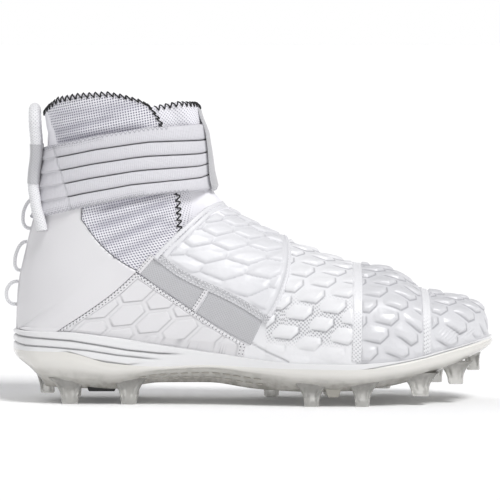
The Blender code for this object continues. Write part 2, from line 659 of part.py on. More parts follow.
def plan_outline(stations, side, grow):
    """The last's feather outline in plan on one side, grown outwards."""
    heel = row_place("heel_end")
    s = stations * heel
    t = np.full_like(s, -side)
    step = 0.002
    ahead = on_form(np.clip(s + step, 0, heel), t)
    behind = on_form(np.clip(s - step, 0, heel), t)
    tangent = (ahead - behind)[:, :2]
    normal = np.column_stack([tangent[:, 1], -tangent[:, 0]]) * side
    normal[0] = (1, 0)
    normal[-1] = (-1, 0)
    normal /= np.linalg.norm(normal, axis=1, keepdims=True)
    return on_form(s, t)[:, :2] + np.asarray(grow)[..., None] * normal


def sole_stations():
    """Places from toe tip to heel back, closer together round both ends."""
    table = TABLE["place"] / row_place("heel_end")
    names = [row.name for row in ROWS]
    toe = table[names.index("toe_cap")]
    heel = table[names.index("heel_floor")]
    ends = np.array([0, 0.07, 0.2, 0.42, 0.7])
    return np.concatenate([toe * ends, np.linspace(toe, heel, 14), 1 - (1 - heel) * ends[::-1]])


def lip(x):
    """How far the sole stands out past the upper at x."""
    share = np.clip(x / LAST_LENGTH, 0, 1)
    return HEEL_LIP + (TOE_LIP - HEEL_LIP) * np.clip(LIP_FADE * share, 0, 1)


def slab(name, profile, slot):
    """A sole layer: rings of a side profile, joined across its top and bottom.

    profile(x) gives for each ring, top first, its growth past the feather and its height.
    """
    stations = sole_stations()
    rings = []
    spine = plan_outline(stations, -1, np.zeros_like(stations))[:, 0]
    profile_rows = profile(spine)
    sides = {}
    for side in (-1, 1):
        sides[side] = []
        for grow, high in profile_rows:
            flat = plan_outline(stations, side, grow)
            sides[side].append(np.column_stack([flat, high]))
    top_share = np.linspace(0, 1, SLAB_SPANS + 1)[1:-1]
    for i in range(len(stations)):
        lateral = [ring[i] for ring in sides[-1]]
        medial = [ring[i] for ring in sides[1]]
        top = [lateral[0] + u * (medial[0] - lateral[0]) for u in top_share]
        bottom = [medial[-1] + u * (lateral[-1] - medial[-1]) for u in top_share]
        rings.append([lateral[0]] + top + medial + bottom + lateral[:0:-1])
    bm = bmesh.new()
    verts = [[bm.verts.new(point) for point in ring] for ring in rings]
    count = len(verts[0])
    for i in range(len(verts) - 1):
        for j in range(count):
            k = (j + 1) % count
            bm.faces.new((verts[i][j], verts[i + 1][j], verts[i + 1][k], verts[i][k]))
    bmesh.ops.remove_doubles(bm, verts=bm.verts, dist=1e-6)
    bmesh.ops.recalc_face_normals(bm, faces=bm.faces)
    return piece(name, mesh_from(name, bm), slot)


def make_midsole():
    """The white carrier: a lip under the upper's edge and two grooves round the heel."""

    def profile(x):
        top = sole_height("feather", x) - EDGE_CLEARANCE
        low = sole_height("joint", x) + CLEARANCE / 2
        fade = np.clip((GROOVE_END - x / LAST_LENGTH) / GROOVE_FADE, 0, 1)
        rows = []
        for step in CARRIER_STEPS:
            grow = lip(x) + step.tuck * TOE_LIP - step.groove * fade * GROOVE_DEPTH
            rows.append((grow, top + step.share * (low - top)))
        return rows

    return slab("midsole", profile, "carrier_white")


def make_plate():
    """The clear plate under the carrier, before its studs."""

    def profile(x):
        top = sole_height("joint", x) - CLEARANCE / 2
        edge = sole_height("edge", x)
        low = sole_height("bottom", x)
        out = lip(x)
        return [
            (out, top),
            (out + PLATE_FLARE, 0.75 * top + 0.25 * edge),
            (out + PLATE_FLARE, 0.2 * top + 0.8 * edge),
            (out - PLATE_FLARE, edge),
            (-0.5 * PLATE_INSET, 0.45 * edge + 0.55 * low),
            (-PLATE_INSET, low),
        ]

    return slab("outsole", profile, "plate_pearl")


def stud_mesh(stud):
    """A blade that tapers from the plate to its tip, with rounded corners."""
    x = float(metres_along(stud.along))
    stations = np.linspace(0, 1, 200)
    edges = {}
    for side in (-1, 1):
        outline = plan_outline(stations, side, np.zeros_like(stations))
        edges[side] = float(np.interp(-x, -outline[:, 0], outline[:, 1]))
    middle = (edges[-1] + edges[1]) / 2
    y = edges[stud.side] - stud.side * STUD_INSET if stud.side else middle
    low = stud.tip * SOLE_HEIGHT
    high = float(sole_height("joint", x)) * 0.55 + float(sole_height("bottom", x)) * 0.45
    bm = bmesh.new()
    sides = 8
    rings = []
    for share, flare in STUD_SECTION:
        z = high + share * (low - high)
        half_long = 0.5 * STUD_LENGTH * stud.length * flare
        half_wide = 0.5 * STUD_WIDTH * stud.width * flare
        shift = share * stud.lean * STUD_LENGTH
        ring = []
        for k in range(sides):
            turn = 2 * np.pi * (k + 0.5) / sides
            reach = (abs(np.cos(turn)) ** 4 + abs(np.sin(turn)) ** 4) ** -0.25
            point = (x + shift + half_long * reach * np.cos(turn), y + half_wide * reach * np.sin(turn), z)
            ring.append(bm.verts.new(point))
        rings.append(ring)
    for upper, lower in zip(rings, rings[1:]):
        for k in range(sides):
            n = (k + 1) % sides
            bm.faces.new((upper[k], lower[k], lower[n], upper[n]))
    bm.faces.new(rings[0])
    bm.faces.new(rings[-1][::-1])
    bmesh.ops.recalc_face_normals(bm, faces=bm.faces)
    mesh = bpy.data.meshes.new(stud.name)
    bm.to_mesh(mesh)
    bm.free()
    return mesh


def make_outsole():
    """The plate with its studs joined on."""
    plate = make_plate()
    for stud in STUDS:
        tool = bpy.data.objects.new("stud_" + stud.name, stud_mesh(stud))
        TOOLS.objects.link(tool)
        tool.hide_render = True
        tool.display_type = "WIRE"
        join = plate.modifiers.new("stud_" + stud.name, "BOOLEAN")
        join.operation = "UNION"
        join.solver = "EXACT"
        join.object = tool
    return plate


def make_insole():
    """The sockliner, dished to the carrier and clear of the upper's wall."""
    inset = UPPER_WALL + INSOLE_MARGIN

    def profile(x):
        low = sole_height("feather", x)
        top = low + INSOLE_THICKNESS
        grow = np.full_like(x, -inset)
        return [
            (grow - 0.6 * INSOLE_THICKNESS, top - FOOTBED_DISH),
            (grow, top),
            (grow, low + 0.3 * INSOLE_THICKNESS),
            (grow - 0.3 * INSOLE_THICKNESS, low),
        ]

    return slab("insole", profile, "insole_grey")


def smooth_route(points, count):
    """Points at equal steps on a smooth curve through a hand-chosen route."""
    points = np.asarray(points, float)
    lengths = np.linalg.norm(np.diff(points, axis=0), axis=1)
    knots = np.concatenate([[0], np.cumsum(np.sqrt(lengths))])
    padded = np.vstack([2 * points[0] - points[1], points, 2 * points[-1] - points[-2]])
    slopes = (padded[2:] - padded[:-2]) / (2 * np.gradient(knots))[:, None]
    fine = np.linspace(0, knots[-1], 12 * len(points))
    k = np.clip(np.searchsorted(knots, fine) - 1, 0, len(points) - 2)
    step = (knots[k + 1] - knots[k])[:, None]
    u = ((fine - knots[k])[:, None]) / step
    curve = (
        (2 * u**3 - 3 * u**2 + 1) * points[k]
        + (u**3 - 2 * u**2 + u) * step * slopes[k]
        + (3 * u**2 - 2 * u**3) * points[k + 1]
        + (u**3 - u**2) * step * slopes[k + 1]
    )
    walked = np.concatenate([[0], np.cumsum(np.linalg.norm(np.diff(curve, axis=0), axis=1))])
    marks = np.linspace(0, walked[-1], count)
    return np.column_stack([np.interp(marks, walked, axis) for axis in curve.T])


def tube(name, points, diameter, slot):
    """A round cord along points."""
    curve = bpy.data.curves.new(name, "CURVE")
    curve.dimensions = "3D"
    curve.bevel_depth = diameter / 2
    curve.bevel_resolution = 2
    curve.use_fill_caps = True
    spline = curve.splines.new("POLY")
    spline.points.add(len(points) - 1)
    for knot, point in zip(spline.points, points):
        knot.co = (*point, 1)
    curve.materials.append(material(slot))
    made = bpy.data.objects.new(name, curve)
    SHOE.objects.link(made)
    return made


def back_seam(level):
    """The point of the form's back seam at a level."""
    s = np.linspace(row_place("heel_end"), 1, 4 * FORM_ROWS)
    points = on_form(s, np.ones_like(s))
    z = float(height(level))
    return np.array([np.interp(z, points[:, 2], points[:, 0]), 0.0, z])


def behind_form(level, y, stand):
    """A point at a level and a distance y from the back seam that stands off the form."""
    low = int(row_place("heel_end") * FORM_ROWS)
    t_side = LATTICE[low:, FORM_COLUMNS + FORM_COLUMNS // 2 :]
    z = float(height(level))
    apart = np.hypot(t_side[..., 1] - y, t_side[..., 2] - z)
    i, j = np.unravel_index(np.argmin(apart), apart.shape)
    s = (low + i) / FORM_ROWS
    t = (FORM_COLUMNS // 2 + j) / FORM_COLUMNS
    base = on_form(s, t)
    normal = outward(np.array([s]), np.array([t]))[0]
    return np.array([base[0] + stand * normal[0], y + stand * normal[1] * (y != 0), z])


def pull_cord_points():
    """The whole loop, from its lateral end over the top to its medial end."""
    strand = []
    for level, spread, stand in PULL_CORD_ROUTE:
        strand.append(behind_form(level, -spread * PULL_CORD_SPREAD, stand * PULL_CORD_DIAMETER))
    strand = np.array(strand)
    other = strand[-2::-1] * (1, -1, 1)
    return smooth_route(np.vstack([strand, other]), 41)


def make_pull_loop():
    points = pull_cord_points()
    cord = tube("pull_loop", points, PULL_CORD_DIAMETER, "cord_white")
    strand = points[: len(points) // 2]
    heights = height(SLEEVE_LEVELS)
    inside = (strand[:, 2] > heights[0]) & (strand[:, 2] < heights[1])
    strand = strand[inside]
    centre = strand * (1, 0, 1)
    bm = bmesh.new()
    sides = 16
    walls = []
    for extra in (EDGE_CLEARANCE, EDGE_CLEARANCE + SLEEVE_WALL):
        deep = PULL_CORD_DIAMETER / 2 + extra
        wide = deep + np.abs(strand[:, 1])
        rings = []
        for point, half in zip(centre, wide):
            ring = []
            for k in range(sides):
                turn = 2 * np.pi * k / sides
                back = np.sign(np.cos(turn)) * abs(np.cos(turn)) ** 0.5 * deep
                side = np.sign(np.sin(turn)) * abs(np.sin(turn)) ** 0.5 * half
                ring.append(bm.verts.new(point + (back, side, 0)))
            rings.append(ring)
        walls.append(rings)
    inner, outer = walls
    for rings in walls:
        for low, high in zip(rings, rings[1:]):
            for k in range(sides):
                bm.faces.new((low[k], low[(k + 1) % sides], high[(k + 1) % sides], high[k]))
    for end in (0, -1):
        for k in range(sides):
            n = (k + 1) % sides
            bm.faces.new((inner[end][k], inner[end][n], outer[end][n], outer[end][k]))
    bmesh.ops.recalc_face_normals(bm, faces=bm.faces)
    sleeve = piece("pull_loop_sleeve", mesh_from("pull_loop_sleeve", bm), "tape_grey")
    return [cord, sleeve]


def make_heel_loops():
    """Thin cords that stand off the back seam in a row."""
    made = []
    around = SKIN_CLEARANCE + CLEARANCE + HEEL_CORD_DIAMETER / 4
    depths = {"panel": around + OVERLAY_WALL, "strap": around + STRAP_WALL + STRAP_CROWN}
    for loop in HEEL_LOOPS:
        low = back_seam(loop.low)
        high = back_seam(loop.high)
        bulge = []
        for turn in np.linspace(0, np.pi, 9):
            share = (1 - np.cos(turn)) / 2
            middle = low + (high - low) * share
            depth = depths["panel"] + share * (depths[loop.top_on] - depths["panel"])
            reach = depth + (loop.reach - HEEL_CORD_DIAMETER) * np.sin(turn) ** 0.8
            bulge.append(middle - (reach, 0, 0))
        made.append(tube(loop.name, smooth_route(bulge, 9), HEEL_CORD_DIAMETER, "cord_white"))
    return made


def make_parts():
    make_upper()
    make_tongue()
    make_insole()
    make_midsole()
    make_outsole()
    make_ankle_strap()
    make_front_shield()
    make_midfoot_strap()
    make_heel_panel()
    make_quarter_overlay()
    make_side_tapes()
    make_toe_tapes()
    make_pull_loop()
    make_heel_loops()


def stand_on_origin():
    """Moves the shoe so that the origin is under the middle of its box."""
    bpy.context.view_layer.update()
    graph = bpy.context.evaluated_depsgraph_get()
    corners = []
    for made in SHOE.objects:
        evaluated = made.evaluated_get(graph)
        mesh = evaluated.to_mesh()
        corners.extend(vertex.co.copy() for vertex in mesh.vertices)
        evaluated.to_mesh_clear()
    points = np.array(corners)
    low = points.min(axis=0)
    high = points.max(axis=0)
    middle = (low + high) / 2
    shift = (-middle[0], -middle[1], -low[2])
    for made in list(SHOE.objects) + list(TOOLS.objects):
        made.location = shift
    print("origin moved by", [round(float(part), 6) for part in shift])


for old in list(bpy.data.objects):
    bpy.data.objects.remove(old, do_unlink=True)
SHOE = bpy.data.collections.new("football_cleat")
TOOLS = bpy.data.collections.new("football_cleat_tools")
bpy.context.scene.collection.children.link(SHOE)
bpy.context.scene.collection.children.link(TOOLS)
make_parts()
stand_on_origin()
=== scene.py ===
"""Football cleat, right shoe, high cut: the fabric, foam, cord and moulded pieces over the CAD frame.

Metres. Every piece of the upper lies on one form of the foot and ankle. A place on it is (s, t):
s runs 0 to 1 from the toe tip over the instep and up the ankle to the collar, and t runs from 0 on
the ridge to 1 at the lateral edge and to -1 at the medial edge. Side tables give places in
millimetres from the heel seam and up from the ground, as the shoe is seen from the side.
"""

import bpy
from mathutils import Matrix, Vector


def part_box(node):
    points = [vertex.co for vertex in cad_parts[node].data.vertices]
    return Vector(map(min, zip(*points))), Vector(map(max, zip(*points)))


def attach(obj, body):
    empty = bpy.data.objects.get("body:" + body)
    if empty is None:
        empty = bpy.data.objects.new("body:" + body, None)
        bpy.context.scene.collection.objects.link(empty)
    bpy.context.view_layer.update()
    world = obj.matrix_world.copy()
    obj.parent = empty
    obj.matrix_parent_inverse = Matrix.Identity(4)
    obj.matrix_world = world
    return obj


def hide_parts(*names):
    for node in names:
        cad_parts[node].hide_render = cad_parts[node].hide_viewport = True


bl_info = {
    "name": "Football Cleat",
    "version": (1, 0, 0),
    "blender": (4, 5, 0),
    "location": "View3D > Sidebar > Cleat",
    "description": "Builds a high-cut football cleat over its CAD frame, from the mesh collar to the studs",
    "category": "Object",
}

import math
from collections import namedtuple

import bmesh
import bpy
import numpy as np
from bpy.props import FloatProperty, FloatVectorProperty, PointerProperty
from mathutils import Vector

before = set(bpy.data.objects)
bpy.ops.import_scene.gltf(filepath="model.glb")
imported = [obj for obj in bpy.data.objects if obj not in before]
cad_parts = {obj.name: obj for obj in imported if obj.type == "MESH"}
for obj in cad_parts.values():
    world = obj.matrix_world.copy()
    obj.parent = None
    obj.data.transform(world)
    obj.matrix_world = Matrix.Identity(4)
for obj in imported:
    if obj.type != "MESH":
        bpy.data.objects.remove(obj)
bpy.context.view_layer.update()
MM = 0.001

# The form's named sizes
LAST_LENGTH = 0.2985
BALL_WIDTH = 0.0975
ANKLE_WIDTH = 0.0735
INSTEP_HEIGHT = 0.128
COLLAR_HEIGHT = 0.196
SOLE_HEIGHT = 0.0455

# A section of the form in the plane from its ridge point to its base point, as shares of the
# last's length, of the instep and collar heights as levels, and of the ball or ankle width.
# A base level of None follows the sole's feather line.
Row = namedtuple(
    "Row",
    "name ridge_x ridge_level base_x base_level ridge_y out_end in_end out_wide in_wide"
    " widest round girth",
)
ROWS = [
    Row("toe_tip", 1.000, 0.328, 1.000, None, 0.072, -0.072, 0.072, -0.072, 0.072, 0.50, 2.2, "ball"),
    Row("toe_nose", 0.993, 0.422, 0.994, None, 0.072, 0.031, 0.174, 0.037, 0.181, 0.65, 2.2, "ball"),
    Row("toe", 0.974, 0.479, 0.976, None, 0.077, 0.144, 0.272, 0.154, 0.282, 0.70, 2.3, "ball"),
    Row("toe_cap", 0.932, 0.512, 0.932, None, 0.082, 0.282, 0.374, 0.295, 0.388, 0.72, 2.4, "ball"),
    Row("band_front", 0.865, 0.542, 0.865, None, 0.082, 0.405, 0.454, 0.421, 0.467, 0.75, 2.4, "ball"),
    Row("band_back", 0.792, 0.643, 0.792, None, 0.082, 0.490, 0.486, 0.506, 0.497, 0.78, 2.3, "ball"),
    Row("ball", 0.698, 0.684, 0.691, None, 0.077, 0.533, 0.467, 0.549, 0.480, 0.80, 2.25, "ball"),
    Row("vamp", 0.597, 0.768, 0.577, None, 0.067, 0.501, 0.379, 0.513, 0.405, 0.80, 2.15, "ball"),
    Row("instep", 0.524, 0.838, 0.457, None, 0.051, 0.423, 0.310, 0.451, 0.374, 0.72, 2.1, "ball"),
    Row("throat", 0.467, 0.906, 0.313, None, 0.031, 0.375, 0.318, 0.415, 0.385, 0.60, 2.1, "ball"),
    Row("heel_floor", 0.431, 0.965, 0.162, None, 0.015, 0.355, 0.347, 0.395, 0.388, 0.52, 2.1, "ball"),
    Row("heel_corner", 0.415, 1.051, 0.048, None, 0.008, 0.273, 0.269, 0.385, 0.379, 0.48, 2.1, "ball"),
    Row("heel_curve", 0.411, 1.110, 0.012, None, 0.004, 0.157, 0.155, 0.382, 0.377, 0.47, 2.1, "ball"),
    Row("heel_end", 0.408, 1.162, 0.000, None, 0.000, 0.000, 0.000, 0.503, 0.498, 0.46, 2.1, "ankle"),
    Row("heel_back", 0.403, 1.265, 0.003, 0.531, 0.000, 0.000, 0.000, 0.495, 0.493, 0.45, 2.1, "ankle"),
    Row("achilles", 0.399, 1.397, 0.025, 0.789, 0.000, 0.000, 0.000, 0.487, 0.487, 0.46, 2.1, "ankle"),
    Row("ankle", 0.393, 1.559, 0.053, 1.103, 0.000, 0.000, 0.000, 0.487, 0.487, 0.47, 2.1, "ankle"),
    Row("cuff", 0.386, 1.765, 0.064, 1.515, 0.000, 0.000, 0.000, 0.493, 0.493, 0.48, 2.1, "ankle"),
    Row("collar", 0.373, 2.147, 0.048, 2.059, 0.000, 0.000, 0.000, 0.503, 0.503, 0.48, 2.1, "ankle"),
]

# Heights of the sole's side, as shares of its height, from the heel (0) to the toe (1)
SoleStep = namedtuple("SoleStep", "along feather joint edge bottom")
SOLE_STEPS = [
    SoleStep(0.0, 1.000, 0.736, 0.484, 0.242),
    SoleStep(0.1, 1.002, 0.736, 0.402, 0.222),
    SoleStep(0.2, 0.936, 0.585, 0.376, 0.209),
    SoleStep(0.3, 0.842, 0.543, 0.473, 0.299),
    SoleStep(0.4, 0.747, 0.569, 0.514, 0.305),
    SoleStep(0.5, 0.653, 0.543, 0.444, 0.222),
    SoleStep(0.6, 0.598, 0.527, 0.363, 0.196),
    SoleStep(0.7, 0.593, 0.523, 0.347, 0.209),
    SoleStep(0.8, 0.626, 0.576, 0.411, 0.279),
    SoleStep(0.9, 0.760, 0.716, 0.527, 0.431),
    SoleStep(1.0, 0.901, 0.857, 0.747, 0.659),
]

# Outlines seen from the side, in millimetres from the heel seam and up from the ground
COLLAR_DOME = [
    (10.7, 176.6), (14.6, 181.0), (19.7, 187.5), (26.0, 192.2), (38.8, 194.8),
    (57.6, 196.0), (68.2, 194.0), (77.7, 191.2), (83.2, 188.2),
]
THROAT_EDGE = [
    (114.9, 102.4), (104.8, 107.6), (103.6, 120.0), (102.8, 133.0), (98.7, 155.0),
    (92.8, 175.0), (88.3, 182.4), (83.2, 188.2),
]
TONGUE_TOP = [(83.0, 185.4), (89.3, 187.3), (102.1, 189.8), (112.8, 189.2), (116.4, 184.8)]
STRAP_TOP = [(7.2, 156.3), (16.4, 159.4), (24.8, 162.6), (51.3, 168.9), (83.0, 174.0), (119.1, 175.6)]
STRAP_BOTTOM = [(7.2, 113.9), (19.7, 117.6), (41.2, 123.4), (70.4, 129.7), (95.5, 132.6), (123.6, 133.8)]
SHIELD_TOP = [(90.0, 187.0), (112.0, 185.6), (124.0, 180.5)]
HEEL_PANEL_FRONT = [(76.0, 84.6), (69.0, 88.4), (61.2, 93.8), (52.4, 101.8), (46.1, 109.7), (40.6, 117.6)]
QUARTER_BACK = [(27.2, 46.8), (44.8, 58.5), (61.2, 70.5), (75.5, 83.5)]
QUARTER_FRONT = [
    (144.6, 38.4), (139.9, 41.2), (127.3, 48.7), (114.6, 56.9), (102.0, 65.5),
    (89.3, 74.0), (83.0, 78.5), (75.5, 83.5),
]
TAPE_TOP = [(84.6, 95.0), (95.6, 87.0), (108.3, 79.0), (120.9, 73.0), (139.9, 64.0), (154.7, 54.5)]
TAPE_BOTTOM = [(75.2, 84.4), (89.3, 74.4), (102.0, 65.9), (114.6, 57.3), (133.6, 45.6), (147.0, 38.6)]
SHROUD_BACK = [(117.8, 123.0), (110.8, 117.0), (103.9, 110.7), (96.9, 104.4), (90.6, 98.1), (86.0, 92.8)]
SHROUD_BOTTOM = [
    (86.0, 92.8), (95.6, 85.4), (102.0, 81.0), (114.6, 74.6), (127.3, 69.0), (139.9, 62.6), (157.2, 52.0),
]
SHROUD_FRONT = [(172.2, 92.0), (171.6, 84.0), (168.4, 72.8), (165.2, 65.2), (157.2, 52.0)]
SHROUD_RIDGE = (0.428, 0.570)
TOE_TAPES = [("toe_tape_back", 0.702, 0.722), ("toe_tape_front", 0.853, 0.869)]
SEAM_LINE = [(139.9, 44.3), (153.8, 36.1), (171.6, 27.8)]

# Folds of the ankle's mesh, in side millimetres: their rise, height at x = 40, half width, depth,
# and where they start and end
Fold = namedtuple("Fold", "rise level wide deep first last")
COLLAR_FOLDS = [
    Fold(0.16, 167, 3.0, 1.7, 25, 80), Fold(0.26, 175, 2.6, 1.4, 20, 62), Fold(0.12, 183, 3.4, 0.9, 25, 80),
    Fold(0.22, 158, 5, 0.5, 0, 110), Fold(0.34, 108, 3.0, 1.8, 48, 98), Fold(0.42, 95, 2.8, 1.5, 52, 92),
    Fold(0.28, 119, 2.8, 1.6, 52, 98), Fold(0.5, 82, 2.8, 1.1, 60, 100), Fold(-0.25, 127, 3.0, 1.0, 80, 104),
]

# The shroud's front edge, behind which the forefoot's shell is hidden, and where the shell's
# three runs meet, as shares of the last's length
SHELL_COVER = [(52.0, 156.5), (65.2, 164.5), (72.8, 167.7), (84.0, 171.0), (92.0, 171.6), (107.0, 171.0)]
SHELL_RUNS = (0.861, 0.712, 0.50)

# Grooves round the sole's side: where they run, and how deep and wide they are in millimetres
Groove = namedtuple("Groove", "points depth half_width")
GROOVES = [
    Groove([(-4, 43.0), (13, 41.8), (35, 40.5), (51, 38.0), (70, 34.8), (89, 32.9), (104, 32.4)], 1.35, 0.60),
    Groove([(-4, 38.8), (7, 36.9), (26, 36.1), (45, 34.5), (64, 31.6), (83, 29.7), (90, 29.1)], 1.25, 0.55),
    Groove([(33, 33.5), (41, 31.0), (48, 28.7), (60, 27.0), (70, 25.6), (79, 26.6)], 1.1, 0.60),
    Groove([(64, 41.6), (89, 38.4), (115, 34.6), (132, 32.2)], 0.5, 0.35),
    Groove([(200, 21.6), (215.8, 23.4), (241.1, 27.8), (256.3, 30.6), (266.5, 33.2), (294, 39.6)], 0.8, 0.36),
]

# A stud: where it stands along the last, its side, its length and width at the tip in
# millimetres, the height of its tip, and its lean to the toe
Stud = namedtuple("Stud", "along side length width tip lean")
STUDS = [
    Stud(0.110, -1, 10.6, 8.0, 0.0, 0.5), Stud(0.236, -1, 10.2, 8.0, 0.0, 0.0),
    Stud(0.110, 1, 10.6, 8.0, 0.0, 0.5), Stud(0.236, 1, 10.2, 8.0, 0.0, 0.0),
    Stud(0.058, 0, 9.0, 11.0, 5.0, 1.0),
    Stud(0.620, -1, 9.6, 8.0, 0.0, 0.0), Stud(0.726, -1, 9.0, 8.0, 0.0, 0.0),
    Stud(0.843, -1, 11.0, 8.0, 5.9, 1.8), Stud(0.921, -1, 9.6, 7.4, 12.3, 1.2),
    Stud(0.537, 1, 9.6, 8.0, 0.0, 0.0), Stud(0.664, 1, 9.6, 8.0, 0.0, 0.0),
    Stud(0.778, 1, 9.6, 8.0, 4.1, 0.0), Stud(0.886, 1, 9.0, 7.4, 8.6, 1.2),
    Stud(0.962, 0, 8.6, 11.0, 19.1, 1.2),
]
STUD_INSET = 10.0

# The blocks under the plate, in metres: their finish, where they start and end, and their heights
Insert = namedtuple("Insert", "name look start stop high low")
INSERTS = [
    Insert("heel_insert", "insert", 0.0435, 0.0632, 0.0130, 0.0078),
    Insert("fore_insert", "rib", 0.1935, 0.2035, 0.0110, 0.0055),
]
INSERT_INSET = 0.0085
INSERT_TAPER = 0.0016

# The camera, at the photograph's height and angle, and the width that it sees at its aim
CAMERA_DISTANCE = 2.5
CAMERA_RISE = math.radians(3.4)
CAMERA_AIM = (0.001, 0.0, 0.0955)
CAMERA_WIDTH = 0.31635

# The pull cord's lateral strand from its sewn end to its top: level, share of the spread, and
# stand off the form in cord diameters
PULL_CORD_DIAMETER = 0.0070
PULL_CORD_SPREAD = 0.0072
PULL_CORD_ROUTE = [
    (0.850, 3.00, 0.62), (0.900, 2.80, 0.78), (0.955, 2.35, 0.98), (1.030, 1.80, 1.08),
    (1.120, 1.25, 1.12), (1.250, 1.00, 1.14), (1.400, 1.00, 1.16), (1.530, 1.00, 1.22),
    (1.640, 1.05, 1.26), (1.725, 1.10, 1.25), (1.785, 0.95, 1.10), (1.825, 0.55, 0.95),
    (1.838, 0.00, 0.90),
]
SLEEVE_LEVELS = (1.143, 1.515)
HeelLoop = namedtuple("HeelLoop", "name low high reach stand")
HEEL_LOOPS = [
    HeelLoop("heel_loop_1", 0.852, 1.000, 0.0063, 0.0034),
    HeelLoop("heel_loop_2", 0.644, 0.787, 0.0053, 0.0020),
    HeelLoop("heel_loop_3", 0.476, 0.590, 0.0071, 0.0020),
]
HEEL_CORD_DIAMETER = 0.0022

# The raised cells of each moulded panel: two steps from a cell to its neighbours in the
# surface (forwards, upwards), the rise of a cell's long axis, and how drawn out it is
CellPlan = namedtuple("CellPlan", "step_a step_b turn stretch gap ramp high")
PODS = CellPlan((13.6, -5.1), (-6.6, -12.9), 35, 1.75, 0.80, 1.5, 1.3)
SCALES = CellPlan((15.8, -5.4), (-10.8, -14.0), 22, 2.1, 0.10, 2.2, 1.2)
HEXES = CellPlan((16.6, -4.4), (-6.8, -14.9), 23, 1.87, 0.95, 0.5, 0.5)

FORM_ROWS = 880
FORM_COLUMNS = 180
CAD_FORM_ROWS = 220
SECTION_SAMPLES = 240


def height(level):
    """Metres above the ground of a level: 0 to 1 to the instep, 1 to 2 on to the collar."""
    level = np.asarray(level, float)
    above = INSTEP_HEIGHT + (level - 1) * (COLLAR_HEIGHT - INSTEP_HEIGHT)
    return np.where(level <= 1, level * INSTEP_HEIGHT, above)


def walk(line):
    """Distance walked to each point of a polyline, from its start."""
    return np.concatenate([[0], np.cumsum(np.linalg.norm(np.diff(line, axis=0), axis=1))])


def read_off(marks, knots, line):
    """Points at marks on a polyline whose own points stand at the knots."""
    return np.column_stack([np.interp(marks, knots, axis) for axis in line.T])


def smooth_curve(knots, values, where):
    """Values at the places where, on a smooth curve through the knots that never overshoots."""
    steps = np.diff(knots)
    slopes = np.diff(values) / steps
    tangents = np.zeros(len(knots))
    for k in range(1, len(knots) - 1):
        if slopes[k - 1] * slopes[k] > 0:
            before = 2 * steps[k] + steps[k - 1]
            after = steps[k] + 2 * steps[k - 1]
            tangents[k] = (before + after) / (before / slopes[k - 1] + after / slopes[k])
    tangents[0] = slopes[0]
    tangents[-1] = slopes[-1]
    k = np.clip(np.searchsorted(knots, where) - 1, 0, len(steps) - 1)
    u = (where - knots[k]) / steps[k]
    rise = values[k + 1] - values[k]
    low = tangents[k] * steps[k]
    high = tangents[k + 1] * steps[k]
    return values[k] + u * (low + u * (3 * rise - 2 * low - high + u * (low + high - 2 * rise)))


def sole_height(step, x):
    """Height of one of the sole's edges at x."""
    knots = np.array([row.along for row in SOLE_STEPS])
    values = np.array([getattr(row, step) for row in SOLE_STEPS])
    along = np.clip(np.asarray(x, float) / LAST_LENGTH, 0, 1)
    return SOLE_HEIGHT * smooth_curve(knots, values, along)


def form_table():
    """The rows as arrays in metres, with the place of each row along the form."""
    width = np.array([BALL_WIDTH if row.girth == "ball" else ANKLE_WIDTH for row in ROWS])
    table = {"widest": np.array([row.widest for row in ROWS])}
    table["round"] = np.array([row.round for row in ROWS])
    for column in ("ridge_y", "out_end", "in_end", "out_wide", "in_wide"):
        table[column] = np.array([getattr(row, column) for row in ROWS]) * width
    table["ridge_x"] = LAST_LENGTH * np.array([row.ridge_x for row in ROWS])
    table["base_x"] = LAST_LENGTH * np.array([row.base_x for row in ROWS])
    table["ridge_z"] = height([row.ridge_level for row in ROWS])
    feather = sole_height("feather", table["base_x"])
    given = [row.base_level for row in ROWS]
    table["base_z"] = np.array([f if g is None else float(height(g)) for f, g in zip(feather, given)])
    table["ridge_z"][0] = table["base_z"][0]
    ridge = np.hypot(np.diff(table["ridge_x"]), np.diff(table["ridge_z"]))
    base = np.hypot(np.diff(table["base_x"]), np.diff(table["base_z"]))
    table["place"] = np.concatenate([[0], np.cumsum(ridge + base)])
    table["place"] /= table["place"][-1]
    heel = table["place"][[row.name for row in ROWS].index("heel_end")]
    snapped = round(heel * CAD_FORM_ROWS) / CAD_FORM_ROWS
    foot = table["place"] * snapped / heel
    ankle = 1 - (1 - table["place"]) * (1 - snapped) / (1 - heel)
    table["place"] = np.where(table["place"] <= heel, foot, ankle)
    return table


TABLE = form_table()


def row_place(name):
    """The s of a named row."""
    return float(TABLE["place"][[row.name for row in ROWS].index(name)])


HEEL = row_place("heel_end")


def half_section(wide, end, widest, power):
    """Shares from ridge to base, and distances out from the ridge's plane, of one half."""
    ratio = np.clip(end / wide, 0, 0.995) if wide > 1e-6 else 0.0
    turn = np.linspace(0, np.pi / 2, SECTION_SAMPLES)
    front = widest * (1 - np.cos(turn) ** (2 / power))
    front_out = wide * np.sin(turn) ** (2 / power)
    last_turn = np.arcsin(np.sqrt(1 - ratio**power))
    turn = np.linspace(0, last_turn, SECTION_SAMPLES)[1:]
    back = widest + (1 - widest) * (np.sin(turn) / np.sin(last_turn)) ** (2 / power)
    back_out = wide * np.cos(turn) ** (2 / power)
    back_out[-1] = end
    return np.concatenate([front, back]), np.concatenate([front_out, back_out])


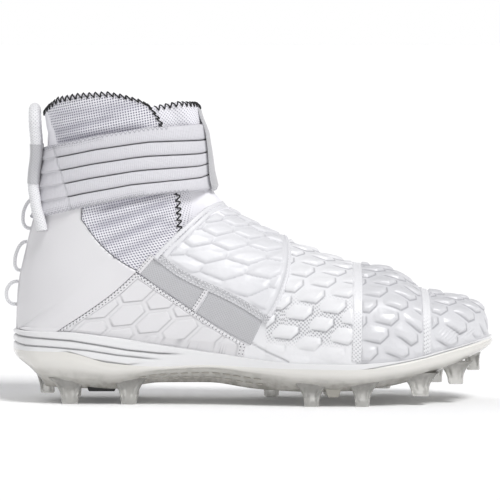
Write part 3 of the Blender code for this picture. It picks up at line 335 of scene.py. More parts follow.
def form_lattice():
    """Points of the form on a regular grid of s and t."""
    places = np.linspace(0, 1, FORM_ROWS + 1)
    at = {name: smooth_curve(TABLE["place"], values, places) for name, values in TABLE.items()}
    lattice = np.zeros((FORM_ROWS + 1, 2 * FORM_COLUMNS + 1, 3))
    columns = np.linspace(0, 1, FORM_COLUMNS + 1)
    for i in range(FORM_ROWS + 1):
        ridge = np.array([at["ridge_x"][i], at["ridge_z"][i]])
        base = np.array([at["base_x"][i], at["base_z"][i]])
        if places[i] <= HEEL:
            base[1] = sole_height("feather", base[0])
        for side, wide, end in ((-1, "out_wide", "out_end"), (1, "in_wide", "in_end")):
            reach = at[wide][i] - side * at["ridge_y"][i]
            foot = at[end][i] - side * at["ridge_y"][i]
            down, out = half_section(reach, foot, at["widest"][i], at["round"][i])
            flat = ridge + down[:, None] * (base - ridge)
            curve = np.column_stack([flat[:, 0], at["ridge_y"][i] + side * out, flat[:, 1]])
            length = walk(curve)
            share = length / length[-1] if length[-1] > 1e-9 else np.linspace(0, 1, len(length))
            points = read_off(columns, share, curve)
            if side == -1:
                lattice[i, FORM_COLUMNS:] = points
            else:
                lattice[i, : FORM_COLUMNS + 1] = points[::-1]
    return lattice


LATTICE = form_lattice()
SHIFT = np.array([
    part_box("upper")[1].x - LAST_LENGTH,
    (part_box("heel_loop_2")[0].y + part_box("heel_loop_2")[1].y) / 2,
    0.0,
])


def on_form(s, t):
    """Points of the form at (s, t), by bilinear steps on the lattice."""
    rows = np.clip(np.asarray(s, float), 0, 1) * FORM_ROWS
    columns = (np.clip(np.asarray(t, float), -1, 1) + 1) * FORM_COLUMNS
    i = np.minimum(rows.astype(int), FORM_ROWS - 1)
    j = np.minimum(columns.astype(int), 2 * FORM_COLUMNS - 1)
    u = (rows - i)[..., None]
    v = (columns - j)[..., None]
    near = LATTICE[i, j] * (1 - v) + LATTICE[i, j + 1] * v
    far = LATTICE[i + 1, j] * (1 - v) + LATTICE[i + 1, j + 1] * v
    return near * (1 - u) + far * u


def outward(s, t):
    """Unit normals of the form at (s, t), pointing out of the shoe."""
    s = np.asarray(s, float)
    t = np.asarray(t, float)
    ds = 0.75 / CAD_FORM_ROWS
    dt = 0.02
    along = on_form(s + ds, t) - on_form(s - ds, t)
    around = on_form(s, t + dt) - on_form(s, t - dt)
    normal = np.cross(along, around)
    normal[s < 0.5 / CAD_FORM_ROWS] = (1.0, 0.0, 0.12)
    seam = (np.abs(t) > 1 - 1e-9) & (s >= HEEL)
    normal[seam, 1] = 0
    return normal / np.linalg.norm(normal, axis=-1, keepdims=True)


def find(side_points):
    """The (s, t) on the lateral side of points in side millimetres."""
    found = []
    half = LATTICE[:, FORM_COLUMNS:]
    step = np.array([0.002, 0.006])
    for x, z in side_points:
        aim = np.array([x, z]) * MM
        apart = np.hypot(half[..., 0] - aim[0], half[..., 2] - aim[1])
        i, j = np.unravel_index(np.argmin(apart), apart.shape)
        place = np.array([i / FORM_ROWS, j / FORM_COLUMNS])
        for _ in range(4):
            ways = [np.array([step[0], 0]), np.array([0, step[1]])]
            slope = [(on_form(*(place + way)) - on_form(*(place - way)))[[0, 2]] / 2 for way in ways]
            move = np.linalg.lstsq(np.column_stack(slope), aim - on_form(*place)[[0, 2]], rcond=1e-2)[0]
            place = np.clip(place + np.clip(move, -1, 1) * step, 0, 1)
        found.append(place)
    return np.array(found)


def traced(side_points, count=36):
    """A smooth outline in side millimetres as a run of (s, t) points."""
    line = np.asarray(side_points, float)
    walked = walk(line)
    fine = np.linspace(0, walked[-1], count)
    return find(np.column_stack([smooth_curve(walked, axis, fine) for axis in line.T]))


def crossing(t, edge):
    """The s at which each column t of the ankle crosses an edge seen from the side."""
    xs = np.array([x for x, _ in edge]) * MM
    zs = np.array([z for _, z in edge]) * MM
    s = np.linspace(row_place("throat"), 1, 1500)
    found = []
    for column in np.atleast_1d(t):
        points = on_form(s, np.full_like(s, column))
        over = points[:, 2] - np.interp(points[:, 0], xs, zs)
        k = int(np.argmax(over > 0)) or len(s) - 1
        found.append(s[k - 1] + (s[k] - s[k - 1]) * over[k - 1] / (over[k - 1] - over[k]))
    return np.array(found)


def evenly(points, marks):
    """A path of (s, t) points sampled at shares of its length over the form."""
    points = np.asarray(points, float)
    if np.isscalar(marks):
        marks = np.linspace(0, 1, marks)
    fine = np.linspace(0, len(points) - 1, 60 * len(points))
    knots = np.arange(len(points), dtype=float)
    path = read_off(fine, knots, points)
    if len(points) > 2:
        path = np.column_stack([smooth_curve(knots, axis, fine) for axis in points.T])
    walked = walk(on_form(path[:, 0], path[:, 1]))
    return read_off(marks * walked[-1], walked, path)


def patch(start, end, first, last, u, v):
    """A grid of (s, t) between four paths: start and end across, first and last along."""
    u = u[:, None, None]
    v = v[None, :, None]
    ruled = (1 - u) * start[None] + u * end[None] + (1 - v) * first[:, None] + v * last[:, None]
    corners = (1 - u) * ((1 - v) * start[0] + v * start[-1]) + u * ((1 - v) * end[0] + v * end[-1])
    return ruled - corners


def mirrored(grid):
    """The same patch on the other side of the ridge."""
    return np.stack([grid[..., 0], -grid[..., 1]], axis=-1)


def marks_with_rims(length, step, rim=1.0, ends=(True, True)):
    """Shares along a length in millimetres, closer together in the rim at each end."""
    inside = np.linspace(rim if ends[0] else 0, length - (rim if ends[1] else 0), max(3, round(length / step)))
    fine = rim * np.array([0.0, 0.12, 0.35, 0.65])
    parts = [fine if ends[0] else [], inside, length - fine[::-1] if ends[1] else []]
    return np.concatenate(parts) / length


def smoothstep(low, high, value):
    share = np.clip((value - low) / (high - low), 0, 1)
    return share * share * (3 - 2 * share)


# Distances in the surface: along the foot halfway down its lateral side, and from the ridge down each side
ALONG = walk(LATTICE[:, FORM_COLUMNS + FORM_COLUMNS // 2])
GIRTH = {
    side: np.linalg.norm(np.diff(half, axis=1), axis=2).sum(axis=1)
    for side, half in ((-1, LATTICE[:, FORM_COLUMNS:]), (1, LATTICE[:, : FORM_COLUMNS + 1]))
}


def in_surface(s, t):
    """Millimetres back from the toe and down from the ridge, over the surface."""
    rows = np.linspace(0, 1, FORM_ROWS + 1)
    back = np.interp(s, rows, ALONG)
    lateral = np.interp(s, rows, GIRTH[-1])
    medial = np.interp(s, rows, GIRTH[1])
    return back / MM, np.abs(t) * np.where(t >= 0, lateral, medial) / MM


def cells(forwards, upwards, plan, start=(0.0, 0.0)):
    """Distance to the nearest cell border, and the place across and along the cell, in millimetres."""
    basis = np.array([plan.step_a, plan.step_b], float).T
    rise = math.radians(plan.turn)
    axes = np.array([[math.cos(rise), math.sin(rise)], [-math.sin(rise), math.cos(rise)]])
    axes[0] /= plan.stretch
    point = np.stack([forwards - start[0], upwards - start[1]], axis=-1)
    nearest = np.round(point @ np.linalg.inv(basis).T)
    rest = (point - nearest @ basis.T) @ axes.T
    steps = np.array([(i, j) for i in range(-2, 3) for j in range(-2, 3)], float) @ basis.T @ axes.T
    apart = ((rest[..., None, :] - steps) ** 2).sum(axis=-1)
    own = np.argmin(apart, axis=-1)
    local = rest - steps[own]
    best = np.take_along_axis(apart, own[..., None], axis=-1)
    between = np.sqrt(((steps[own][..., None, :] - steps) ** 2).sum(axis=-1))
    border = np.where(between > 1e-6, (apart - best) / (2 * np.maximum(between, 1e-6)), np.inf).min(axis=-1)
    return border, local


def lengths(points, axis):
    """Distances walked over a grid of points along an axis, from its start."""
    steps = np.linalg.norm(np.diff(points, axis=axis), axis=2)
    zeros = np.zeros_like(np.take(steps, [0], axis=axis))
    return np.cumsum(np.concatenate([zeros, steps], axis=axis), axis=axis)


def from_rims(points):
    """Distance of each point of a grid from the nearest edge of the grid."""
    down, across = lengths(points, 0), lengths(points, 1)
    nearest = np.minimum(down, down[-1:] - down)
    return np.minimum(nearest, np.minimum(across, across[:, -1:] - across))


def grid_mesh(name, outer, inner, ring=False, marks=None, lining=True, flat=None, thin=1):
    """A closed wall between two grids of points, with a UV map in metres and point attributes.

    The inner grid keeps one point in every thin of the outer one.
    """
    rows, columns = outer.shape[:2]
    count = rows * columns
    fine = np.arange(count).reshape(rows, columns)
    inner = inner[::thin, ::thin]
    coarse = np.arange(inner.shape[0] * inner.shape[1]).reshape(inner.shape[:2]) + count

    def quads(index):
        grid = np.stack([index[:-1, :-1], index[1:, :-1], index[1:, 1:], index[:-1, 1:]], axis=-1)
        faces = grid.reshape(-1, 4)
        if ring:
            seam = np.stack([index[:-1, -1], index[1:, -1], index[1:, 0], index[:-1, 0]], axis=-1)
            faces = np.vstack([faces, seam])
        return faces

    i, j = rows // 2, columns // 2
    cross = np.cross(outer[i + 1, j] - outer[i, j], outer[i, j + 1] - outer[i, j])
    flip = float(cross @ (outer[i, j] - inner[i // thin, j // thin])) < 0
    front, back = quads(fine), quads(coarse)
    faces = (front[:, ::-1] if flip else front).tolist() + (back if flip else back[:, ::-1]).tolist()
    rims = [(fine[0], coarse[0]), (fine[-1][::-1], coarse[-1][::-1])]
    if not ring:
        rims += [(fine[::-1, 0], coarse[::-1, 0]), (fine[:, -1], coarse[:, -1])]
    for edge, far in rims:
        if ring:
            edge, far = np.append(edge, edge[0]), np.append(far, far[0])
        for k in range(len(far) - 1):
            strip = [*edge[k * thin : (k + 1) * thin + 1][::-1].tolist(), int(far[k]), int(far[k + 1])]
            faces.append(strip[::-1] if flip else strip)
    points = np.vstack([outer.reshape(-1, 3), inner.reshape(-1, 3)]) + SHIFT
    mesh = bpy.data.meshes.new(name)
    mesh.from_pydata(points.tolist(), [], faces)
    if flat is None:
        across = lengths(outer, 1)
        flat = np.stack([across - across[:, columns // 2 : columns // 2 + 1], lengths(outer, 0)], axis=-1)
    flat = np.vstack([flat.reshape(-1, 2), flat[::thin, ::thin].reshape(-1, 2)])
    loops = np.zeros(len(mesh.loops), dtype=np.int32)
    mesh.loops.foreach_get("vertex_index", loops)
    mesh.uv_layers.new(name="surface").data.foreach_set("uv", flat[loops].ravel())
    for key, values in (marks or {}).items():
        values = np.concatenate([values.ravel(), 0 * values[::thin, ::thin].ravel()])
        set_mark(mesh, key, values)
    slots = np.zeros(len(faces), dtype=np.int32)
    if lining:
        slots[len(front) : len(front) + len(back)] = 1
    mesh.polygons.foreach_set("material_index", slots)
    return mesh


def set_mark(mesh, key, values):
    """Gives a mesh a point attribute that its material reads."""
    mesh.attributes.new(key, "FLOAT", "POINT").data.foreach_set("value", values)


def turned_out(mesh):
    """Points a closed mesh's faces outwards."""
    bm = bmesh.new()
    bm.from_mesh(mesh)
    bmesh.ops.recalc_face_normals(bm, faces=bm.faces)
    bm.to_mesh(mesh)
    bm.free()


def shade(mesh, angle):
    """Shades a mesh smooth but for edges sharper than an angle in degrees."""
    mesh.shade_smooth()
    mesh.set_sharp_from_angle(angle=math.radians(angle))


def finish_mesh(mesh, angle=50):
    """Welds a mesh's doubles and shades it smooth but for its sharp edges."""
    bm = bmesh.new()
    bm.from_mesh(mesh)
    bmesh.ops.remove_doubles(bm, verts=bm.verts, dist=2e-6)
    bmesh.ops.dissolve_degenerate(bm, edges=bm.edges, dist=1e-7)
    bm.to_mesh(mesh)
    bm.free()
    shade(mesh, angle)


def show(name, mesh, materials, nodes=()):
    """Puts a finished piece in the scene, on the shoe's one body, in place of its CAD nodes."""
    for material in materials:
        mesh.materials.append(material)
    made = bpy.data.objects.new(name, mesh)
    bpy.context.scene.collection.objects.link(made)
    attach(made, "root")
    if nodes:
        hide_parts(*nodes)
    return made


def laid(grid, outer, inner, rim=0.0, free=False):
    """Outer and inner points of a wall on the form, rounded at its rims; a free wall rounds both faces."""
    base = on_form(grid[..., 0], grid[..., 1])
    normal = outward(grid[..., 0], grid[..., 1])
    outer = np.broadcast_to(outer, base.shape[:2])
    inner = np.broadcast_to(inner, base.shape[:2])
    if rim:
        share = np.clip(from_rims(base) / rim, 0, 1)
        bend = np.sqrt(1 - (1 - share) ** 2)
        middle = (outer + inner) / 2 if free else inner
        outer = middle + (outer - middle) * bend
        inner = middle + (inner - middle) * bend
    return base + normal * outer[..., None], base + normal * inner[..., None]


def seen(grid):
    """A grid's s and t, its points on the form, and the points' side millimetres."""
    s, t = grid[..., 0], grid[..., 1]
    points = on_form(s, t)
    return s, t, points, points[..., 0] / MM, points[..., 2] / MM


def lay_piece(name, grid, outer, inner, finish, nodes,
              rim=0.0, free=False, ring=False, marks=None, angle=50):
    """Lays a wall on the form as a finished piece; returns it with its outer points."""
    outer, inner = laid(grid, outer, inner, rim, free)
    mesh = grid_mesh(name, outer, inner, ring=ring, marks=marks, lining=False)
    finish_mesh(mesh, angle)
    return show(name, mesh, [finish], nodes), outer


def lifted(grid, outer, gap):
    """A piece's outer points, lifted off it by a gap in metres, for the thread that lies on it."""
    return outer + outward(grid[..., 0], grid[..., 1]) * gap


def side_by_side(grid):
    """One grid from a half and its mirror image, which meet at the half's first column."""
    return np.concatenate([mirrored(grid)[:, :0:-1], grid], axis=1)


def inset(points, edge, distance):
    """A polyline at a distance in metres inside one edge of a grid of points, or outside where negative."""
    if distance < 0:
        on, within = inset(points, edge, 0.0), inset(points, edge, 0.0012)
        away = (on - within) / np.linalg.norm(on - within, axis=1, keepdims=True)
        return on - away * distance
    grid = {"start": points, "end": points[::-1], "first": points.swapaxes(0, 1),
            "last": points.swapaxes(0, 1)[::-1]}[edge]
    walked = lengths(grid, 0)
    line = [[np.interp(distance, walked[:, j], grid[:, j, k]) for k in range(3)] for j in range(grid.shape[1])]
    return np.array(line)


def resampled(line, step):
    """A polyline at even steps along itself."""
    walked = walk(line)
    count = max(2, int(round(walked[-1] / step)) + 1)
    return read_off(np.linspace(0, walked[-1], count), walked, line)


def zigzag(points, edge, near, far, pitch, between=(0.0, 1.0)):
    """A stitch that steps to and fro between two distances inside an edge of a grid of points."""
    lines = np.stack([inset(points, edge, near + (far - near) * k / 4) for k in range(5)])
    walked = walk(lines[2])
    start, stop = walked[-1] * between[0], walked[-1] * between[1]
    steps = np.arange(int((stop - start) / pitch * 10))
    share = 4 * (1 - np.abs(1 - 2 * (steps / 10 % 1)))
    place = start + steps * pitch / 10
    levels = np.stack([[np.interp(place, walked, line[:, k]) for k in range(3)] for line in lines])
    low = np.clip(share.astype(int), 0, 3)
    part = (share - low)[:, None]
    index = np.arange(len(steps))
    return levels[low, :, index] * (1 - part) + levels[low + 1, :, index] * part


def wall_flat(s, t, x, z):
    """Fabric directions on the ankle: round it from the ridge, and up it with a slight rise forwards."""
    _, around = in_surface(s, t)
    rise = math.radians(12)
    return np.stack([np.sign(t) * around * MM, (z * math.cos(rise) - x * math.sin(rise)) * MM], axis=-1)


def lower_inside(points):
    """Drops the medial side of the collar and tongue a little under the lateral side."""
    drop = 0.0036 * smoothstep(0.165, 0.192, points[..., 2]) * smoothstep(0.0, 0.022, points[..., 1])
    return points - np.stack([0 * drop, 0 * drop, drop], axis=-1)


def linear(code):
    """Linear red, green and blue of an sRGB hex colour."""
    parts = [int(code[k : k + 2], 16) / 255 for k in (0, 2, 4)]
    return tuple(p / 12.92 if p <= 0.04045 else ((p + 0.055) / 1.055) ** 2.4 for p in parts)


def wire(tree, kind, inputs=None, **settings):
    """Adds a node with its settings; an input is given as a value or as the socket that feeds it."""
    made = tree.nodes.new(kind)
    for key, value in settings.items():
        setattr(made, key, value)
    for key, value in (inputs or {}).items():
        if isinstance(value, bpy.types.NodeSocket):
            tree.links.new(value, made.inputs[key])
        else:
            made.inputs[key].default_value = value
    return made.outputs


def reckon(tree, operation, first, second=0.0, third=0.0):
    """The result of one sum on sockets or numbers."""
    return wire(tree, "ShaderNodeMath", {0: first, 1: second, 2: third}, operation=operation)[0]


def times(tree, first, second):
    """The product of two sockets or numbers."""
    return reckon(tree, "MULTIPLY", first, second)


def plus(tree, first, second):
    """The sum of two sockets or numbers."""
    return reckon(tree, "ADD", first, second)


def step_up(tree, value, low, high):
    """A smooth step of a socket from 0 at low to 1 at high."""
    inputs = {"Value": value, "From Min": low, "From Max": high}
    return wire(tree, "ShaderNodeMapRange", inputs, interpolation_type="SMOOTHSTEP")["Result"]


def mixed(tree, share, first, second):
    """A colour between two, each a colour or a socket."""
    inputs = {"Factor": share}
    made = wire(tree, "ShaderNodeMix", inputs, data_type="RGBA")
    node = made[0].node
    for socket, value in ((node.inputs[6], first), (node.inputs[7], second)):
        if isinstance(value, bpy.types.NodeSocket):
            tree.links.new(value, socket)
        else:
            socket.default_value = (*value[:3], 1)
    return made[2]


def woven(tree, across, along, turn=0.0):
    """Waves across and along a fabric from its UV map, at the pitches given in millimetres."""
    uv = wire(tree, "ShaderNodeUVMap", uv_map="surface")[0]
    uv = wire(tree, "ShaderNodeMapping", {"Vector": uv, "Rotation": (0, 0, math.radians(turn))})[0]
    parts = wire(tree, "ShaderNodeSeparateXYZ", {0: uv})
    waves = []
    for part, pitch in ((parts[0], across), (parts[1], along)):
        waves.append(reckon(tree, "COSINE", times(tree, part, 2 * math.pi / (pitch * MM))))
    return waves


def grain(tree, size, detail=3.0):
    """Noise with features of a size in millimetres, on the shoe's own coordinates."""
    place = wire(tree, "ShaderNodeTexCoord")["Object"]
    inputs = {"Vector": place, "Scale": 1 / (size * MM), "Detail": detail, "Roughness": 0.55}
    return wire(tree, "ShaderNodeTexNoise", inputs)["Fac"]


def material(name, colour, roughness, coat=0.0, sheen=0.0, ior=1.5, shape=None, transmission=0.0):
    """A dielectric finish; shape(tree, colour) gives its colour, roughness and bump height in millimetres."""
    made = bpy.data.materials.get(name)
    if made is not None:
        return made
    made = bpy.data.materials.new(name)
    made.use_nodes = True
    tree = made.node_tree
    shader = tree.nodes["Principled BSDF"]
    shader.inputs["Base Color"].default_value = (*colour, 1)
    shader.inputs["Roughness"].default_value = roughness
    shader.inputs["IOR"].default_value = ior
    shader.inputs["Coat Weight"].default_value = coat
    shader.inputs["Coat Roughness"].default_value = 0.25
    shader.inputs["Sheen Weight"].default_value = sheen
    shader.inputs["Sheen Roughness"].default_value = 0.4
    shader.inputs["Transmission Weight"].default_value = transmission
    if shape:
        tint, rough, relief = shape(tree, colour)
        if tint is not None:
            tree.links.new(tint, shader.inputs["Base Color"])
        if rough is not None:
            tree.links.new(rough, shader.inputs["Roughness"])
        if relief is not None:
            inputs = {"Height": relief, "Distance": MM, "Strength": 1.0}
            tree.links.new(wire(tree, "ShaderNodeBump", inputs)[0], shader.inputs["Normal"])
    return made


def mark(tree, name):
    """One of the piece's own point attributes."""
    return wire(tree, "ShaderNodeAttribute", attribute_name=name)["Fac"]


# Warp-knit spacer mesh: knitted with open cells that show the foam's grey-lavender backing. The
# cells' pitch is the photo's, where the knit repeats every 1.6 mm.
def spacer_mesh(tree, colour):
    hole_colour = tuple(bpy.context.scene.cleat_colours.mesh_hole)
    knit = mark(tree, "knit")
    across, along = woven(tree, 1.66, 1.62)
    hole = step_up(tree, plus(tree, across, along), 0.10, 1.20)
    hole = times(tree, hole, knit)
    cloud = step_up(tree, grain(tree, 22, 1.0), 0.35, 0.7)
    # Painted shade darkens the yarn in the troughs of the folds, over a faint random mottle
    cloud = plus(tree, times(tree, cloud, 0.10), times(tree, mark(tree, "fold_shade"), 0.42))
    yarn = mixed(tree, times(tree, cloud, knit), colour, hole_colour)
    tint = mixed(tree, hole, yarn, hole_colour)
    return tint, None, times(tree, hole, -0.45)


# Tricot mesh: a diagonal knit, almost closed, so only its pores show the backing. In the photo it
# repeats every 1.5 mm, and it is drawn a little coarser so that it shows.
def tricot_mesh(tree, colour):
    hole_colour = tuple(bpy.context.scene.cleat_colours.mesh_hole)
    across, along = woven(tree, 1.6, 1.6, 45)
    hole = step_up(tree, plus(tree, across, along), 0.5, 1.3)
    hole = times(tree, hole, mark(tree, "knit"))
    tint = mixed(tree, times(tree, hole, 0.6), colour, hole_colour)
    return tint, None, times(tree, hole, -0.2)


# Textile under a pressed TPU film: glossy on the pods, with the knit showing between them. The knit's 1.75 mm
# was set coarse enough to show.
def filmed_textile(tree, colour):
    pod = mark(tree, "pod")
    knit = mark(tree, "knit")
    crease = mark(tree, "crease")
    across, along = woven(tree, 1.75, 1.75, 45)
    hole = times(tree, step_up(tree, plus(tree, across, along), 0.0, 1.2), knit)
    tint = mixed(tree, times(tree, hole, 0.6), colour, linear("7C7B82"))
    low = times(tree, reckon(tree, "SUBTRACT", 1.0, pod), 0.10)
    tint = mixed(tree, low, tint, linear("B9B9C0"))
    # The crease mark is painted shade: under each pod's lower edge and in the seam's groove
    tint = mixed(tree, times(tree, crease, 0.75), tint, linear("6F6F76"))
    rough = plus(tree, times(tree, pod, -0.24), 0.60)
    fine = times(tree, grain(tree, 1.3), 0.12)
    soft = times(tree, grain(tree, 9.0, 2.0), 0.45)
    return tint, rough, plus(tree, plus(tree, fine, soft), times(tree, hole, -0.25))


def shell_part(name, places, across, pod_centre, film):
    """One run of the forefoot's shell: filmed textile with raised pods that fade above the sole."""
    finish = finishes()
    high = bpy.context.scene.cleat_sizes.pod_height
    count = 4 * math.ceil((len(places) - 1) / 4) + 1
    places = np.interp(np.linspace(0, 1, count), np.linspace(0, 1, len(places)), places)
    columns = np.linspace(-1, 1, 4 * (across // 4) + 1)
    grid = np.stack(np.meshgrid(places, columns, indexing="ij"), axis=-1)
    s, t, points, x, z = seen(grid)
    back, down = in_surface(s, t)
    centre = find([pod_centre])
    from_toe, from_ridge = in_surface(centre[:, 0], centre[:, 1])
    border, local = cells(-back, -down, PODS, start=(-from_toe[0], -from_ridge[0]))
    border = border - 1.3 * np.clip(local[..., 0] / 7, -1.3, 1.3) ** 2
    # The pods fade under the shroud, down to the sole, beside the tapes and at the toe's tip
    under = hidden_under(x, z)
    above = z - sole_height("feather", points[..., 0]) / MM
    in_band = smoothstep(208, 214, x)
    foot = smoothstep(5 - 4 * in_band, 17 - 13 * in_band, above)
    tape = np.ones_like(x)
    for _, first, last in TOE_TAPES:
        middle = (first + last) / 2 * LAST_LENGTH / MM
        base = np.interp(s, TABLE["place"], TABLE["base_x"]) / MM
        tape = np.minimum(tape, smoothstep(2.6, 3.8, np.abs(base - middle)))
    strength = (1 - under) * foot * tape * smoothstep(0, 1, s / row_place("toe_nose") - 0.4)
    # Each pod is steep on its lower side, drawn out upwards, and highest at its lower side
    gap = PODS.gap + 0.75 * smoothstep(210, 190, x) * smoothstep(64, 54, z)
    ramp = PODS.ramp + 0.7 + 3.6 * smoothstep(-2.5, 3.0, local[..., 1])
    dome = np.sin(0.5 * np.pi * np.clip((border - gap) / ramp, 0, 1)) ** 0.8
    tilt = 1 - 0.45 * np.clip(local[..., 1] / 4, -1, 1)
    relief = high * strength * dome * tilt
    fade = smoothstep(9, 18, above)
    relief += 0.0005 * (1 - under) * (1 - in_band) * (1 - fade) * dome
    # The knit shows between the pods; painted shade darkens the crease under each pod, and a groove runs along
    # the seam with painted shade in it
    knit = (1 - under) * (1 - smoothstep(-0.3, 0.25, border - gap)) * smoothstep(222, 205, x)
    knit = knit * smoothstep(74, 56, z) * fade * tape
    lower = smoothstep(0.5, -1.5, local[..., 1])
    crease = np.exp(-(((border - gap + 0.25) / 0.42) ** 2)) * lower * strength
    line = np.interp(x, *np.array(SEAM_LINE).T)
    groove = np.exp(-(((z - line) / 0.7) ** 2)) * (t > 0) * (x > 139) * (x < 171)
    relief -= 0.0007 * groove
    pod = np.clip(smoothstep(-0.2, 0.3, border - gap) * strength + (1 - fade), 0, 1)
    # Fine moulded ribs low on the toe
    ribs = smoothstep(262, 268, x) * smoothstep(50, 46, z) * smoothstep(4, 6, above) * smoothstep(292, 284, x)
    relief += 0.00022 * ribs * np.cos(2 * np.pi * (x * 0.64 - z * 0.77) / 2.1)
    marks = {"pod": pod, "knit": knit, "crease": np.clip(crease * 0.8 + groove * 0.5, 0, 1)}
    outer, inner = laid(grid, relief, -0.002)
    mesh = grid_mesh(name, outer, inner, marks=marks, thin=4)
    finish_mesh(mesh)
    show(name, mesh, [finish[film], finish["lining"]], ["upper"])


# Synthetic leather over foam, pressed in a hot mould: soft satin with a faint pore. The pitch of the bound
# edges' stitches is given.
def padded_synthetic(tree, colour):
    crease = mark(tree, "crease")
    binding = mark(tree, "binding")
    across, along = woven(tree, 1.3, 1.1, 20)
    uneven = plus(tree, times(tree, across, along), times(tree, grain(tree, 1.6, 1.0), 1.6))
    knots = step_up(tree, uneven, 0.60, 1.25)
    knots = times(tree, binding, knots)
    # The crease mark is painted shade in the creases and grooves
    tint = mixed(tree, times(tree, crease, 0.55), colour, linear("8F8F96"))
    tint = mixed(tree, times(tree, knots, 0.6), tint, linear("77777C"))
    fine = times(tree, grain(tree, 0.9), 0.05)
    soft = times(tree, grain(tree, 7.0, 2.0), 0.45)
    return tint, None, plus(tree, plus(tree, fine, soft), times(tree, knots, -0.3))


# Smooth synthetic leather, calendered: an even satin with the faintest pebble
def smooth_synthetic(tree, colour):
    crease = mark(tree, "crease")
    # The crease mark is painted shade along grooves, edges and cell borders
    tint = mixed(tree, times(tree, crease, 0.5), colour, linear("8F8E92"))
    shade = step_up(tree, grain(tree, 40, 1.0), 0.3, 0.75)
    tint = mixed(tree, times(tree, shade, 0.10), tint, linear("B5B3B8"))
    return tint, None, times(tree, grain(tree, 0.8, 2.0), 0.03)


# Elastic webbing: knitted with rubber yarns, so fine ribs run across each band. Its ribs and the coarser
# lattice of its sewn edges have given pitches.
def ribbed_elastic(tree, colour):
    slit = mark(tree, "slit")
    across, along = woven(tree, 1.25, 0.9)
    rib = plus(tree, times(tree, across, 0.5), 0.5)
    weave = times(tree, rib, grain(tree, 2.0, 2.0))
    tint = mixed(tree, times(tree, weave, 0.30), colour, linear("A3A2A9"))
    warp, weft = woven(tree, 1.9, 1.7, 45)
    knots = step_up(tree, plus(tree, times(tree, warp, weft), grain(tree, 1.5, 1.0)), 0.55, 1.2)
    knots = times(tree, knots, mark(tree, "binding"))
    tint = mixed(tree, times(tree, knots, 0.7), tint, linear("8E8E95"))
    # The slit mark is painted shade: in the slits, along the joins and over each band's lower half
    tint = mixed(tree, slit, tint, linear("66666C"))
    relief = plus(tree, times(tree, across, 0.06), times(tree, along, 0.04))
    relief = plus(tree, relief, times(tree, grain(tree, 6.0, 2.0), 0.5))
    return tint, None, relief


# Satin-woven tape: long floats in a fine twill, which catch the light in one direction. The
# photo's weave repeats every 1.2 mm, too fine to show, so it is drawn at 1.35 mm.
def satin_tape(tree, colour):
    across, along = woven(tree, 1.35, 1.35, 35)
    twill = plus(tree, times(tree, across, 0.5), 0.5)
    pick = plus(tree, times(tree, along, 0.5), 0.5)
    tint = mixed(tree, times(tree, times(tree, twill, pick), 0.45), colour, linear("8F8F90"))
    return tint, None, times(tree, plus(tree, twill, pick), 0.06)


# Braided polyester cord: sixteen carriers cross as they wind, so ribs slant both ways. Their pitches are given.
def braided_cord(tree, colour):
    across, along = woven(tree, 2.4, 1.7, 0)
    both = times(tree, across, along)
    bed = step_up(tree, both, -0.9, -0.1)
    shade = reckon(tree, "SUBTRACT", 1.0, bed)
    tint = mixed(tree, times(tree, shade, 0.45), colour, linear("A2A2A8"))
    return tint, None, times(tree, bed, 0.30)


# Injection-moulded TPU, filled white: satin, with a slight orange peel
def white_tpu(tree, colour):
    groove = mark(tree, "groove")
    tint = mixed(tree, mark(tree, "pearl"), colour, tuple(bpy.context.scene.cleat_colours.plate))
    # The groove mark is painted shade, darker the deeper the groove, and along the top at the feather line
    tint = mixed(tree, times(tree, groove, 0.55), tint, linear("8A8A8C"))
    return tint, None, times(tree, grain(tree, 3.0, 2.0), 0.03)


# Clear TPU, moulded glossy over the white carrier: pearl at the joint, darker low on the plate's side, under it
# and towards the studs' roots, partly the smoky tone of thick clear TPU and partly painted shade on faces
# turned from the light
def clear_tpu(tree, colour):
    deep = mark(tree, "deep")
    streak = step_up(tree, grain(tree, 6.0, 3.0), 0.35, 0.7)
    shade = times(tree, deep, plus(tree, times(tree, streak, 0.3), 0.7))
    tint = mixed(tree, shade, colour, linear("77746C"))
    return tint, None, times(tree, grain(tree, 5.0, 1.0), 0.10)


# Brushed knit lining and sockliner: matt, with a short nap. Its pitch is given.
def brushed_knit(tree, colour):
    across, along = woven(tree, 1.3, 1.1)
    knit = times(tree, plus(tree, across, along), 0.25)
    tint = mixed(tree, times(tree, grain(tree, 1.0), 0.25), colour, linear("8C8C90"))
    return tint, None, times(tree, knit, 0.15)


# Twisted polyester sewing thread: two plies show as fine slanted ribs
def twisted_thread(tree, colour):
    return None, None, times(tree, grain(tree, 0.5, 1.0), 0.06)


